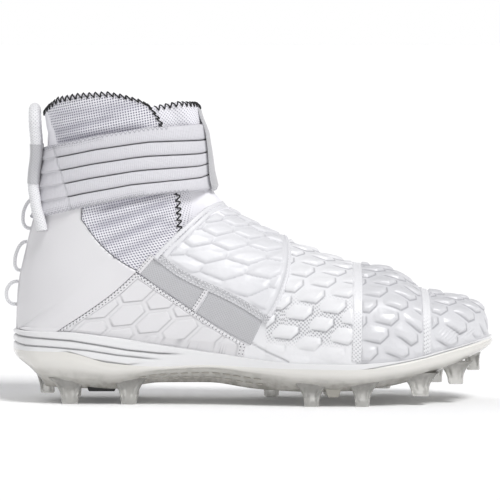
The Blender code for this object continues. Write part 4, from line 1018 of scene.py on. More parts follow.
class CleatColours(bpy.types.PropertyGroup):
    """Colours of the cleat's materials, as linear values."""

    white: FloatVectorProperty(
        name="Film White", description="Pressed film over the forefoot", subtype="COLOR",
        size=3, min=0, max=1, default=linear("E8E8EA"))
    mesh: FloatVectorProperty(
        name="Mesh White", description="Yarn of the collar and tongue", subtype="COLOR",
        size=3, min=0, max=1, default=linear("F0EFF4"))
    mesh_hole: FloatVectorProperty(
        name="Mesh Hole", description="Backing seen through the mesh", subtype="COLOR",
        size=3, min=0, max=1, default=linear("878597"))
    panel: FloatVectorProperty(
        name="Panel White", description="Heel panel and quarter overlay", subtype="COLOR",
        size=3, min=0, max=1, default=linear("DFDEE0"))
    shroud: FloatVectorProperty(
        name="Shroud White", description="Padded strap over the instep", subtype="COLOR",
        size=3, min=0, max=1, default=linear("DEDEE1"))
    strap: FloatVectorProperty(
        name="Strap Grey", description="Elastic ankle strap", subtype="COLOR",
        size=3, min=0, max=1, default=linear("DAD9DE"))
    tape: FloatVectorProperty(
        name="Tape Grey", description="Satin tapes, shield and cord sleeve", subtype="COLOR",
        size=3, min=0, max=1, default=linear("BCBCBF"))
    thread: FloatVectorProperty(
        name="Zigzag Thread", description="Overlock thread on the collar and tongue", subtype="COLOR",
        size=3, min=0, max=1, default=linear("0B0B0C"))
    carrier: FloatVectorProperty(
        name="Carrier White", description="White carrier of the sole", subtype="COLOR",
        size=3, min=0, max=1, default=linear("E1E1E2"))
    plate: FloatVectorProperty(
        name="Plate Pearl", description="Clear plate and studs", subtype="COLOR",
        size=3, min=0, max=1, default=linear("E9E7E2"))


class CleatSizes(bpy.types.PropertyGroup):
    """Sizes of the details over the frame."""

    pod_height: FloatProperty(
        name="Pod Height", description="How far the forefoot's pods stand up", unit="LENGTH",
        min=0, max=0.003, default=PODS.high * MM)
    scale_height: FloatProperty(
        name="Scale Height", description="How far the shroud's padded scales stand up", unit="LENGTH",
        min=0, max=0.003, default=SCALES.high * MM)
    zigzag_width: FloatProperty(
        name="Zigzag Width", description="Width of the overlock stitch", unit="LENGTH",
        min=0.001, max=0.006, default=0.0045)
    zigzag_pitch: FloatProperty(
        name="Zigzag Pitch", description="Length of one tooth of the overlock stitch", unit="LENGTH",
        min=0.001, max=0.01, default=0.0040)
    thread_radius: FloatProperty(
        name="Thread Radius", description="Radius of the overlock thread", unit="LENGTH",
        min=0.0001, max=0.001, default=0.00044)
    stitch_pitch: FloatProperty(
        name="Stitch Pitch", description="Distance between the stitches of a row", unit="LENGTH",
        min=0.001, max=0.006, default=0.0024)


def socket_named(tree, name):
    """The identifier of one of a tree's inputs."""
    for item in tree.interface.items_tree:
        if item.item_type == "SOCKET" and item.in_out == "INPUT" and item.name == name:
            return item.identifier
    raise RuntimeError("the tree has no input " + name)


def tree_with(name, sizes):
    """A new geometry tree with a path, sizes and a finish as inputs, and its two end nodes."""
    tree = bpy.data.node_groups.new(name, "GeometryNodeTree")
    tree.interface.new_socket("Path", in_out="INPUT", socket_type="NodeSocketGeometry")
    for size in sizes:
        tree.interface.new_socket(size, in_out="INPUT", socket_type="NodeSocketFloat")
    tree.interface.new_socket("Finish", in_out="INPUT", socket_type="NodeSocketMaterial")
    tree.interface.new_socket("Result", in_out="OUTPUT", socket_type="NodeSocketGeometry")
    return tree, wire(tree, "NodeGroupInput")


def close_tree(tree, start, shape):
    """Ends a tree in Realize Instances and Set Material."""
    smooth = wire(tree, "GeometryNodeSetShadeSmooth", {"Geometry": shape})[0]
    real = wire(tree, "GeometryNodeRealizeInstances", {"Geometry": smooth})[0]
    done = wire(tree, "GeometryNodeSetMaterial", {"Geometry": real, "Material": start["Finish"]})[0]
    wire(tree, "NodeGroupOutput", {"Result": done})
    return tree


def thread_tree():
    """Thread laid along paths."""
    tree = bpy.data.node_groups.get("laid_thread")
    if tree:
        return tree
    tree, start = tree_with("laid_thread", ["Radius"])
    curve = wire(tree, "GeometryNodeMeshToCurve", {"Mesh": start["Path"]})[0]
    section = wire(tree, "GeometryNodeCurvePrimitiveCircle", {"Resolution": 6, "Radius": start["Radius"]})[0]
    inputs = {"Curve": curve, "Profile Curve": section, "Fill Caps": True}
    return close_tree(tree, start, wire(tree, "GeometryNodeCurveToMesh", inputs)[0])


def stitch_tree():
    """Short stitches in rows along paths."""
    tree = bpy.data.node_groups.get("stitch_row")
    if tree:
        return tree
    tree, start = tree_with("stitch_row", ["Radius", "Pitch", "Length"])
    curve = wire(tree, "GeometryNodeMeshToCurve", {"Mesh": start["Path"]})[0]
    row = wire(tree, "GeometryNodeResampleCurve", {"Curve": curve, "Length": start["Pitch"]}, mode="LENGTH")[0]
    ball = wire(tree, "GeometryNodeMeshUVSphere", {"Segments": 6, "Rings": 4, "Radius": start["Radius"]})[0]
    long = times(tree, reckon(tree, "DIVIDE", start["Length"], start["Radius"]), 0.5)
    size = wire(tree, "ShaderNodeCombineXYZ", {0: 1.0, 1: 1.0, 2: long})[0]
    stitch = wire(tree, "GeometryNodeTransform", {"Geometry": ball, "Scale": size})[0]
    tangent = wire(tree, "GeometryNodeInputTangent")[0]
    turn = wire(tree, "FunctionNodeAlignRotationToVector", {"Vector": tangent}, axis="Z")[0]
    inputs = {"Points": row, "Instance": stitch, "Rotation": turn}
    return close_tree(tree, start, wire(tree, "GeometryNodeInstanceOnPoints", inputs)[0])


def sewn(name, lines, tree, finish, sizes):
    """A piece made by a geometry tree along polylines in the shoe's own frame."""
    points = []
    edges = []
    for line in lines:
        first = len(points)
        points.extend((np.asarray(line) + SHIFT).tolist())
        edges.extend((first + k, first + k + 1) for k in range(len(line) - 1))
    paths = bpy.data.meshes.new(name + "_paths")
    paths.from_pydata(points, edges, [])
    carrier = bpy.data.objects.new(name + "_paths", paths)
    bpy.context.scene.collection.objects.link(carrier)
    modifier = carrier.modifiers.new(name, "NODES")
    modifier.node_group = tree
    for size, value in sizes.items():
        modifier[socket_named(tree, size)] = value
    modifier[socket_named(tree, "Finish")] = finish
    graph = bpy.context.evaluated_depsgraph_get()
    mesh = bpy.data.meshes.new_from_object(carrier.evaluated_get(graph))
    mesh.name = name
    carrier.modifiers.remove(modifier)
    bpy.data.objects.remove(carrier)
    return show(name, mesh, [])


def finishes():
    """The cleat's materials by the piece they cover."""
    c = bpy.context.scene.cleat_colours
    return {
        "mesh": material("warp_knit_spacer_mesh", tuple(c.mesh), 0.75, sheen=0.2, shape=spacer_mesh),
        "tongue": material("tricot_mesh", tuple(c.mesh), 0.75, sheen=0.2, shape=tricot_mesh),
        "film": material("tpu_filmed_textile", tuple(c.white), 0.40, coat=0.2, shape=filmed_textile),
        # The toe's film is the vamp's film made greyer: painted shade for the toe, which faces away from the
        # light
        "toe_film_shaded": material(
            "tpu_filmed_textile_toe_shade", linear("D5D5D8"), 0.36, coat=0.3, shape=filmed_textile),
        "shroud": material("padded_synthetic_leather", tuple(c.shroud), 0.45, coat=0.1, shape=padded_synthetic),
        "panel": material("smooth_synthetic_leather", tuple(c.panel), 0.42, coat=0.1, shape=smooth_synthetic),
        "strap": material("ribbed_elastic_webbing", tuple(c.strap), 0.65, sheen=0.2, shape=ribbed_elastic),
        "tape": material("satin_woven_tape", tuple(c.tape), 0.45, sheen=0.3, shape=satin_tape),
        "cord": material("braided_polyester_cord", linear("ECECEE"), 0.7, sheen=0.2, shape=braided_cord),
        "carrier": material("injection_moulded_tpu_white", tuple(c.carrier), 0.32, coat=0.2, shape=white_tpu),
        "plate": material(
            "clear_tpu_over_white", tuple(c.plate), 0.18,
            coat=0.3, ior=1.49, shape=clear_tpu, transmission=0.15),
        "stud": material(
            "clear_moulded_tpu", linear("F8F7F3"), 0.10, coat=0.3, ior=1.49, shape=clear_tpu, transmission=0.6),
        "rib": material("clear_tpu_ribs", linear("A9A69E"), 0.25, coat=0.3, shape=twisted_thread),
        "lining": material("brushed_knit_lining", linear("DDDDE0"), 0.9, sheen=0.3, shape=brushed_knit),
        "insole": material("knit_sockliner", linear("B4B4B9"), 0.9, sheen=0.3, shape=brushed_knit),
        "black": material("black_polyester_thread", tuple(c.thread), 0.55, shape=twisted_thread),
        "white": material("white_polyester_thread", linear("EDEDEF"), 0.5, shape=twisted_thread),
        "grey": material("grey_polyester_thread", linear("A9A9AF"), 0.5, shape=twisted_thread),
        "hole": material("needle_hole_shadow", linear("5C5C62"), 0.9, shape=twisted_thread),
        "insert": material("black_plate_block", linear("0A0A0B"), 0.5, shape=twisted_thread),
    }


def hidden_under(x, z):
    """1 where the shroud and the strap cover the foot's shell, at side millimetres."""
    return smoothstep(0.8, -0.8, x - np.interp(z, *np.array(SHELL_COVER).T))


def place_at(share, edge="base_x"):
    """The s at which the form's base or ridge passes a share of the last's length."""
    return float(np.interp(-share, -TABLE[edge] / LAST_LENGTH, TABLE["place"]))


def vamp_shell():
    """The forefoot and the shell under the straps: a filmed textile with raised pods, in three runs."""
    nose = row_place("toe_nose")
    cap_end, band_end, arch = (place_at(share) for share in SHELL_RUNS)
    tip = nose * np.array([0, 0.1, 0.25, 0.45, 0.7])
    cap = np.concatenate([tip, np.linspace(nose, cap_end, 108)])
    # The toe's two runs take the film's copy greyed with painted shade
    shell_part("toe_cap_shell", cap, 300, (269.0, 43.0), "toe_film_shaded")
    shell_part("toe_band_shell", np.linspace(cap_end, band_end, 97), 340, (224.1, 46.2), "toe_film_shaded")
    hidden = np.linspace(arch, row_place("throat"), 25)[1:]
    vamp = np.concatenate([np.linspace(band_end, arch, 113), hidden])
    shell_part("vamp_shell", vamp, 380, (190.8, 52.2), "film")


def throat_edge(marks):
    """The collar's front edge from the ridge up, as a run of (s, t)."""
    return evenly(np.vstack([(row_place("throat"), 0.0), traced(THROAT_EDGE)]), marks)


def collar_grid(u, v):
    """The ankle's lateral half: u from the throat row to the collar, v from the throat edge to the seam."""
    throat = row_place("throat")
    front = throat_edge(u)
    corner = front[-1]
    around = corner[1] + (1 - corner[1]) * v
    top = np.column_stack([crossing(around, COLLAR_DOME), around])
    top[0] = corner
    start = np.column_stack([np.full(len(v), throat), v])
    back = np.column_stack([throat + (top[-1, 0] - throat) * u, np.ones(len(u))])
    near = int(np.argmin(np.abs(back[:, 0] - HEEL)))
    back[near, 0] = HEEL
    return patch(start, top, front, back, u, v)


def collar_shell():
    """The heel, ankle and padded collar in one spacer mesh, and the overlock stitch on its edge."""
    finish = finishes()
    sizes = bpy.context.scene.cleat_sizes
    u = marks_with_rims(150, 1.2, 1.6, (False, True))
    v = marks_with_rims(105, 1.3, 1.6, (True, False))
    half = collar_grid(u, v)
    grid = np.concatenate([half, mirrored(half)[:, -2::-1]], axis=1)
    s, t, base, x, z = seen(grid)
    edge = from_rims(base) / MM
    relief = 0.0006 * smoothstep(178, 185, z) * smoothstep(0, 5, edge)
    # Each fold is a trough in the mesh, and the mark made for it paints shade into the trough
    fold_shade = 0 * x
    for rise, level, wide, deep, first, last in COLLAR_FOLDS:
        line = level + rise * (x - 40)
        along = smoothstep(first - 8, first + 8, x) * smoothstep(last + 8, last - 8, x)
        sunk = np.exp(-(((z - line) / wide) ** 2)) * smoothstep(0, 7, edge) * along
        relief -= deep * MM * sunk
        fold_shade = np.maximum(fold_shade, sunk * min(1, deep / 1.5))
    # Behind this line the collar is padded and smooth, and low on the medial side it has no knit
    rear = np.interp(z, [129, 163, 185, 200], [34, 25.5, 19.4, 19.0])
    knit = smoothstep(-0.5, 0.5, x - rear) * smoothstep(0.9, 2.0, edge)
    knit = knit * (1 - (t < 0) * smoothstep(88, 86, z))
    relief += 0.0005 * smoothstep(0.6, -0.6, x - rear) * smoothstep(150, 160, z)
    relief = np.maximum(relief, -0.0017)
    outer, inner = laid(grid, relief, -0.002, rim=0.0011, free=True)
    outer, inner = lower_inside(outer), lower_inside(inner)
    marks = {"knit": knit, "fold_shade": fold_shade}
    mesh = grid_mesh("collar_shell", outer, inner, marks=marks, flat=wall_flat(s, t, x, z))
    finish_mesh(mesh)
    show("collar_shell", mesh, [finish["mesh"], finish["lining"]], ["upper"])
    raised = lifted(grid, outer, 0.00045)
    wide = sizes.zigzag_width
    lines = [zigzag(raised, "end", -0.0006, wide - 0.0006, sizes.zigzag_pitch)]
    for edge in ("first", "last"):
        lines.append(zigzag(raised, edge, 0.0001, wide, sizes.zigzag_pitch, (0.30, 1.0)))
    radii = {"Radius": sizes.thread_radius}
    sewn("collar_zigzag", lines, thread_tree(), finish["black"], radii)


def tongue():
    """The tongue between the throat's edges, padded where it shows, and its overlock stitch."""
    finish = finishes()
    sizes = bpy.context.scene.cleat_sizes
    columns = np.linspace(-0.42, 0.42, 81)
    top = crossing(columns, TONGUE_TOP)
    bottom = 0.5 * (row_place("instep") + row_place("throat"))
    u = marks_with_rims(120, 1.1, 1.6, (False, True))[:, None]
    s = bottom + u * (top[None] - bottom)
    t = np.broadcast_to(columns, s.shape)
    throat = throat_edge(60)
    edge = np.interp(s, throat[:, 0], throat[:, 1], left=0.0)
    tuck = np.clip((np.abs(t) - edge + 0.16) / 0.08, 0, 1)
    stand = -0.0003 - tuck * tuck * (3 - 2 * tuck) * 0.0030
    base = on_form(s, t)
    x = base[..., 0] / MM
    z = base[..., 2] / MM
    roll = smoothstep(100, 108, z) * smoothstep(135, 124, z) * (1 - tuck)
    stand = stand + 0.0022 * roll * smoothstep(108, 114, x) + 0.0008 * smoothstep(172, 178, z) * (1 - tuck)
    crease = np.exp(-(((x - 111.5) / 1.2) ** 2)) * smoothstep(100, 108, z) * smoothstep(136, 130, z)
    stand = stand - 0.0007 * crease
    grid = np.stack([s, t], axis=-1)
    outer, inner = laid(grid, stand, stand - 0.0034, rim=0.0014, free=True)
    outer, inner = lower_inside(outer), lower_inside(inner)
    knit = 1 - smoothstep(110, 113, x) * smoothstep(140, 134, z)
    mesh = grid_mesh("tongue_pad", outer, inner, marks={"knit": knit}, flat=wall_flat(s, t, x, z))
    finish_mesh(mesh)
    pad = show("tongue_pad", mesh, [finish["tongue"], finish["lining"]], ["tongue"])
    raised = lifted(grid, outer, 0.00045)
    lines = [zigzag(raised, "end", -0.0005, sizes.zigzag_width - 0.0005, sizes.zigzag_pitch, (0.1, 0.9))]
    sewn("tongue_zigzag", lines, thread_tree(), finish["black"], {"Radius": sizes.thread_radius})


STRAP_BANDS = 5
STRAP_WIDTH = 42
SLIT_BACKS = [27.9, 29.8, 32.4, 34.3]
SHIELD_REACH = 0.072


def ankle_strap():
    """Five elastic bands side by side round the ankle, fused behind, with the satin shield in front."""
    finish = finishes()
    around = np.linspace(-1, 1, 289)[:-1]
    low = crossing(around, STRAP_BOTTOM)
    high = crossing(around, STRAP_TOP)
    steps = (0.0, 0.02, 0.045, 0.08, 0.15, 0.3, 0.5, 0.7, 0.85, 0.92, 0.955, 0.98)
    shares = np.array([(band + f) / STRAP_BANDS for band in range(STRAP_BANDS) for f in steps] + [1.0])
    s = low[None] + shares[:, None] * (high - low)[None]
    t = np.broadcast_to(around, s.shape)
    grid = np.stack([s, t], axis=-1)
    base = on_form(s, t)
    x = base[..., 0] / MM
    z = base[..., 2] / MM
    # Slits open between the bands, each band is crowned, and behind the join the bands are fused
    in_band = shares * STRAP_BANDS % 1
    apart = np.minimum(in_band, 1 - in_band)[:, None] + 0 * s
    nearest = np.clip(np.round(shares * STRAP_BANDS).astype(int), 1, STRAP_BANDS - 1)
    starts = np.array(SLIT_BACKS[::-1])[nearest - 1][:, None]
    open_slit = smoothstep(-0.5, 0.5, x - starts)
    rim = ((shares < 0.01) | (shares > 0.99))[:, None]
    slit = (1 - smoothstep(0.018, 0.062, apart)) * open_slit * ~rim
    crown = np.sqrt(1 - (1 - np.clip(apart / 0.15, 0, 1)) ** 2)
    join = x - (25.2 + (162.9 - z) * 0.28)
    fused = smoothstep(0.5, -0.5, join)
    step = (0.5 - in_band[:, None] + 0 * s) * smoothstep(0.0, 0.05, apart)
    stand = 0.0018 + (0.0012 * crown - 0.0006 * slit) * open_slit + (1 - open_slit) * 0.0010
    stand = stand + fused * (0.0007 + 0.0011 * step)
    border = np.minimum(shares, 1 - shares)[:, None] * STRAP_WIDTH
    rounded = np.sqrt(np.clip(1 - (1 - np.clip(border / 0.9, 0, 1)) ** 2, 0, 1))
    stand = stand * (0.35 + 0.65 * rounded)
    # Painted shade: a dark line along the join to the fused part, another where the bands pass under the
    # shield, and in the slits
    seam = np.exp(-((join / 0.45) ** 2)) * 0.45
    end = np.exp(-(((np.abs(t) - SHIELD_REACH - 0.004) / 0.006) ** 2))
    # The lattice stitching lies near both edges of the strap, and on the upper one only at the back
    sewn_on = smoothstep(0.4, 0.9, border) * smoothstep(4.2, 3.6, border)
    sewn_on = sewn_on * smoothstep(84, 78, x) * np.where(shares[:, None] > 0.5, smoothstep(58, 52, x), 1)
    # Each band's lower half is darker with painted shade, as it turns from the light
    under = 0.16 * smoothstep(0.5, 0.0, in_band[:, None] + 0 * s) * open_slit
    marks = {"slit": np.clip(slit + seam + end + under, 0, 1), "binding": sewn_on}
    _, outer = lay_piece("strap_bands", grid, stand, 0.0002, finish["strap"], ["ankle_strap"],
                         ring=True, marks=marks, angle=60)
    lines = []
    raised = lifted(grid, outer, 0.00015)
    half = len(around) // 2
    for part in (raised[:, half:], raised[:, :half][:, ::-1]):
        for edge, reach in (("start", (0.22, 1.0)), ("end", (0.30, 1.0))):
            lines.append(zigzag(part, edge, 0.0011, 0.0034, 0.0029, reach))
    sewn("strap_lattice_stitches", lines, thread_tree(), finish["grey"], {"Radius": 0.00017})
    columns = np.linspace(-SHIELD_REACH, SHIELD_REACH, 25)
    low = crossing(columns, STRAP_BOTTOM)
    high = crossing(columns, SHIELD_TOP)
    u = np.linspace(-0.02, 1.0, 90)[:, None]
    s = low[None] + u * (high - low)[None]
    t = np.broadcast_to(columns, s.shape)
    over = smoothstep(1.0, 0.74, u) * smoothstep(-0.05, 0.04, u)
    stand = 0.0013 + 0.0029 * over + 0 * s
    lay_piece("front_shield_tape", np.stack([s, t], axis=-1), stand, stand - 0.0011, finish["tape"],
              ["front_shield"], rim=0.0005, free=True)


def midfoot_shroud():
    """The padded shroud over the instep: pressed scales between bound edges."""
    finish = finishes()
    sizes = bpy.context.scene.cleat_sizes
    ridge_s = [place_at(share, "ridge_x") for share in SHROUD_RIDGE]
    u = marks_with_rims(66, 0.60, 1.0)
    v = marks_with_rims(84, 0.67, 1.0, (False, True))
    back = evenly(np.vstack([[ridge_s[0], 0], traced(SHROUD_BACK)]), v)
    front = evenly(np.vstack([[ridge_s[1], 0], traced(SHROUD_FRONT)]), v)
    bottom = evenly(traced(SHROUD_BOTTOM), u)
    bottom[0] = back[-1]
    bottom[-1] = front[-1]
    ridge = np.column_stack([ridge_s[0] + (ridge_s[1] - ridge_s[0]) * u, np.zeros(len(u))])
    grid = side_by_side(patch(back, front, ridge, bottom, u, v))
    s, t = grid[..., 0], grid[..., 1]
    base = on_form(s, t)
    down = lengths(base, 0)
    across = lengths(base, 1)
    to_back = down / MM
    to_front = (down[-1:] - down) / MM
    to_foot = np.minimum(across, across[:, -1:] - across) / MM
    away, below = in_surface(s, t)
    centre = find([(134.2, 101.5)])
    from_toe, from_ridge = in_surface(centre[:, 0], centre[:, 1])
    border, local = cells(-away, -below, SCALES, start=(-from_toe[0], -from_ridge[0]))
    # The scales lie inside the bound edges, steep on their lower side
    inside = smoothstep(6.4, 7.6, to_back) * smoothstep(4.6, 6.4, to_front) * smoothstep(5.0, 7.0, to_foot)
    ramp = SCALES.ramp + 4.5 * smoothstep(-1.5, 4.0, local[..., 1])
    dome = np.clip((border - SCALES.gap) / ramp, 0, 1)
    dome = np.sin(0.5 * np.pi * dome) ** 0.9
    tilt = 1 - 0.35 * np.clip(local[..., 1] / 5, -1, 1)
    relief = sizes.scale_height * inside * dome * tilt
    # Two welts run along the back edge, a lower one along the front, and stitches along the foot
    first = smoothstep(0.0, 0.5, to_back) * smoothstep(3.3, 2.9, to_back)
    second = smoothstep(3.5, 3.9, to_back) * smoothstep(6.4, 6.0, to_back)
    relief = relief + 0.0009 * first + 0.0006 * second
    relief = relief + 0.0005 * smoothstep(2.6, 2.1, to_front) + 0.0003 * smoothstep(4.4, 4.0, to_front)
    edging = smoothstep(5.0, 4.4, to_foot) * smoothstep(3.0, 3.6, to_back)
    stitched = edging * (0.4 + 0.6 * smoothstep(0.8, 1.4, to_foot))
    # Painted shade darkens the grooves beside the welts and the borders of the scales, most on their lower
    # sides
    dark = np.exp(-(((to_back - 3.4) / 0.28) ** 2)) * 0.8 + np.exp(-(((to_back - 6.6) / 0.35) ** 2)) * 0.35
    dark = dark + np.exp(-(((to_front - 2.9) / 0.3) ** 2)) * 0.35
    lower = smoothstep(0.6, -1.6, local[..., 1])
    crease = np.exp(-((border / 0.55) ** 2)) * inside * (0.04 + 0.60 * lower)
    marks = {"crease": np.clip(crease + dark, 0, 1), "binding": stitched}
    pad, outer = lay_piece("midfoot_shroud", grid, 0.0016 + relief, 0.0002, finish["shroud"],
                           ["midfoot_strap"], rim=0.0010, marks=marks)
    raised = lifted(grid, outer, 0.0001)
    lines = [inset(raised, "start", gap) for gap in (0.0014, 0.0048)]
    lines += [inset(raised, "end", gap) for gap in (0.0012, 0.0036)]
    for edge in ("first", "last"):
        lines += [inset(raised, edge, gap) for gap in (0.0010, 0.0030, 0.0050)]
    stitches = {"Radius": 0.00026, "Pitch": sizes.stitch_pitch, "Length": 0.0015}
    sewn("shroud_stitches", lines, stitch_tree(), finish["white"], stitches)


def heel_panel():
    """The smooth counter round the heel, up to the ankle strap."""
    finish = finishes()
    u = marks_with_rims(62, 1.2, 1.0)
    v = marks_with_rims(60, 1.2, 1.0, (False, True))
    edge = traced(HEEL_PANEL_FRONT)
    corner = (float(crossing(edge[-1, 1], STRAP_BOTTOM)[0]) + 0.004, edge[-1, 1])
    front = evenly(np.vstack([edge[:-1], corner]), u)
    low = evenly(traced(QUARTER_BACK[::-1]), 1 - v)
    low[-1] = front[0]
    low[0, 1] = 1.0
    across = 1 + (front[-1, 1] - 1) * v
    top = np.column_stack([crossing(across, STRAP_BOTTOM) + 0.004, across])
    top[-1] = front[-1]
    rising = low[0, 0] + (top[0, 0] - low[0, 0]) * u
    rising[int(np.argmin(np.abs(rising - HEEL)))] = HEEL
    back = np.column_stack([rising, np.ones(len(u))])
    half = patch(low, top, back, front, u, v)
    grid = side_by_side(half)
    s, t = grid[..., 0], grid[..., 1]
    base = on_form(s, t)
    seam = np.abs(lengths(base, 1) - lengths(base, 1)[:, len(v) - 1 : len(v)]) / MM
    ridge = smoothstep(5.0, 4.2, seam)
    edge_line = np.exp(-(((seam - 5.2) / 0.5) ** 2))
    relief = 0.0005 * ridge - 0.0003 * edge_line
    across = lengths(base, 1)
    front_edge = np.minimum(across, across[:, -1:] - across) / MM
    # Painted shade darkens the groove beside the seam's ridge and, most, the front edges over the mesh
    edge_line = edge_line * 0.6 + 1.7 * np.exp(-((front_edge / 0.7) ** 2))
    marks = {"crease": np.clip(edge_line, 0, 1.7)}
    _, outer = lay_piece("heel_counter", grid, 0.0013 + relief, 0.0001, finish["panel"], ["heel_panel"],
                         rim=0.0009, marks=marks)
    # A dark line laid along both front edges is painted shadow where the counter stands over the mesh
    raised = lifted(grid, outer, 0.00005)
    lines = [inset(raised, edge, 0.0) for edge in ("first", "last")]
    sewn("counter_edge_shadow_line", lines, thread_tree(), finish["hole"], {"Radius": 0.00030})


def quarter_overlay():
    """The three-cornered panel of large pressed scales, with a double row of needle holes on its edges."""
    finish = finishes()
    sizes = bpy.context.scene.cleat_sizes
    v = marks_with_rims(92, 0.66, 1.2, (False, True))
    u = marks_with_rims(90, 0.67, 1.2)
    low = evenly(traced(QUARTER_BACK), v)
    high = evenly(traced(QUARTER_FRONT), v)
    low[0, 1] = 1.0
    high[0, 1] = 1.0
    low[-1] = high[-1]
    grid = low[None] * (1 - u[:, None, None]) + high[None] * u[:, None, None]
    _, _, base, x, z = seen(grid)
    down = lengths(base, 0)
    rim = np.minimum(down, down[-1:] - down) / MM
    border, local = cells(x, z, HEXES, start=(69.7, 56.9))
    inside = smoothstep(4.8, 5.6, rim) * smoothstep(0.92, 0.80, v[None, :] + 0 * x)
    panel = smoothstep(HEXES.gap, HEXES.gap + HEXES.ramp, border)
    line = np.exp(-(((border - HEXES.gap) / 0.32) ** 2))
    lower = smoothstep(1.0, -2.0, local[..., 1])
    relief = MM * HEXES.high * inside * (panel * (1 + 0.25 * lower) + 0.2 * smoothstep(0.5, 0, border))
    edge_line = np.exp(-(((rim - 5.1) / 0.4) ** 2))
    relief = relief + 0.0004 * smoothstep(5.0, 4.5, rim) - 0.0002 * edge_line
    # Painted shade darkens the borders between the scales, most on their lower sides, and the groove inside the
    # edge
    crease = np.clip(line * inside * (0.3 + 0.7 * lower) + edge_line * 0.45, 0, 1)
    _, outer = lay_piece("quarter_scales", grid, 0.0011 + relief, 0.0001, finish["panel"], ["quarter_overlay"],
                         rim=0.0009, marks={"crease": crease})
    rows = [(edge, gap) for edge in ("start", "end") for gap in (0.0015, 0.0037)]
    sunk = lifted(grid, outer, -0.00008)
    lines = [inset(sunk, edge, gap) for edge, gap in rows]
    holes = {"Radius": 0.00036, "Pitch": sizes.stitch_pitch, "Length": 0.00095}
    sewn("quarter_needle_holes", lines, stitch_tree(), finish["hole"], holes)
    raised = lifted(grid, outer, 0.00006)
    shifted = [resampled(inset(raised, edge, gap), sizes.stitch_pitch)[:-1] for edge, gap in rows]
    shifted = [(line[:-1] + line[1:]) / 2 for line in shifted]
    stitches = {"Radius": 0.00022, "Pitch": sizes.stitch_pitch, "Length": 0.0012}
    sewn("quarter_stitches", shifted, stitch_tree(), finish["white"], stitches)


def side_tapes():
    """Two lengths of satin tape between the quarter and the shroud, with a stitched band between."""
    finish = finishes()
    u = np.linspace(0, 1, 141)
    top = evenly(traced(TAPE_TOP), u)
    bottom = evenly(traced(TAPE_BOTTOM), u)
    v = np.linspace(0, 1.0, 34)[None, :, None]
    holes = []
    for name, first, last in (("side_tape_upper", 0.035, 0.505), ("side_tape_lower", 0.535, 1.0)):
        part = (u >= first) & (u <= last)
        grid = top[part][:, None] * (1 - v) + bottom[part][:, None] * v
        lay_piece(name + "_weave", grid, 0.0006, 0.0001, finish["tape"], [name], rim=0.0003)
    for name, first, last in (("tape_band", 0.490, 0.530), ("tape_end_band", 0.0, 0.042)):
        marks_u = np.linspace(first, last, 13)
        over = read_off(marks_u, u, top)
        under = read_off(marks_u, u, bottom)
        grid = over[:, None] * (1 - v) + under[:, None] * v
        _, outer = lay_piece(name, grid, 0.0012, 0.0001, finish["panel"], ["side_tape_upper"],
                             rim=0.0006, marks={"crease": np.zeros(grid.shape[:2])})
        holes += [inset(outer, "start", gap) for gap in (0.0011, 0.0023)]
    sizes = {"Radius": 0.0003, "Pitch": 0.0019, "Length": 0.0008}
    sewn("tape_needle_holes", holes, stitch_tree(), finish["hole"], sizes)


def toe_tapes():
    """Two narrow tapes over the toe box, with a row of stitches along each edge."""
    finish = finishes()
    lines = []
    for name, first, last in TOE_TAPES:
        rows = [place_at(share) for share in (last, first)]
        u = marks_with_rims(6.0, 0.6, 0.8)
        columns = np.linspace(-0.985, 0.985, 241)
        s = rows[0] + (rows[1] - rows[0]) * u[:, None] * np.ones_like(columns)
        t = np.broadcast_to(columns, s.shape)
        grid = np.stack([s, t], axis=-1)
        marks = {"pod": 0.6 + 0 * s, "knit": 0.7 * smoothstep(0.55, 0.85, np.abs(t)), "crease": 0 * s}
        _, outer = lay_piece(name + "_band", grid, 0.0005, 0.0001, finish["film"], [name],
                             rim=0.0008, marks=marks)
        raised = lifted(grid, outer, 0.00005)
        lines += [inset(raised, "start", 0.0014), inset(raised, "end", 0.0014)]
    stitches = {"Radius": 0.00024, "Pitch": bpy.context.scene.cleat_sizes.stitch_pitch, "Length": 0.0015}
    sewn("toe_stitches", lines, stitch_tree(), finish["white"], stitches)


def outline(stations, side, grow):
    """The last's feather outline in plan on one side, grown outwards."""
    s = stations * HEEL
    t = np.full_like(s, -side)
    ahead = on_form(np.clip(s + 0.002, 0, HEEL), t)
    behind = on_form(np.clip(s - 0.002, 0, HEEL), t)
    tangent = (ahead - behind)[:, :2]
    normal = np.column_stack([tangent[:, 1], -tangent[:, 0]]) * side
    normal[0] = (1, 0)
    normal[-1] = (-1, 0)
    normal /= np.linalg.norm(normal, axis=1, keepdims=True)
    return on_form(s, t)[:, :2] + np.asarray(grow)[..., None] * normal


def sole_stations(count):
    """Stations from toe to heel at even steps round the feather's outline."""
    fine = np.linspace(0, 1, 4000)
    line = outline(fine, -1, np.zeros_like(fine))
    walked = walk(line)
    return np.interp(np.linspace(0, walked[-1], count), walked, fine)


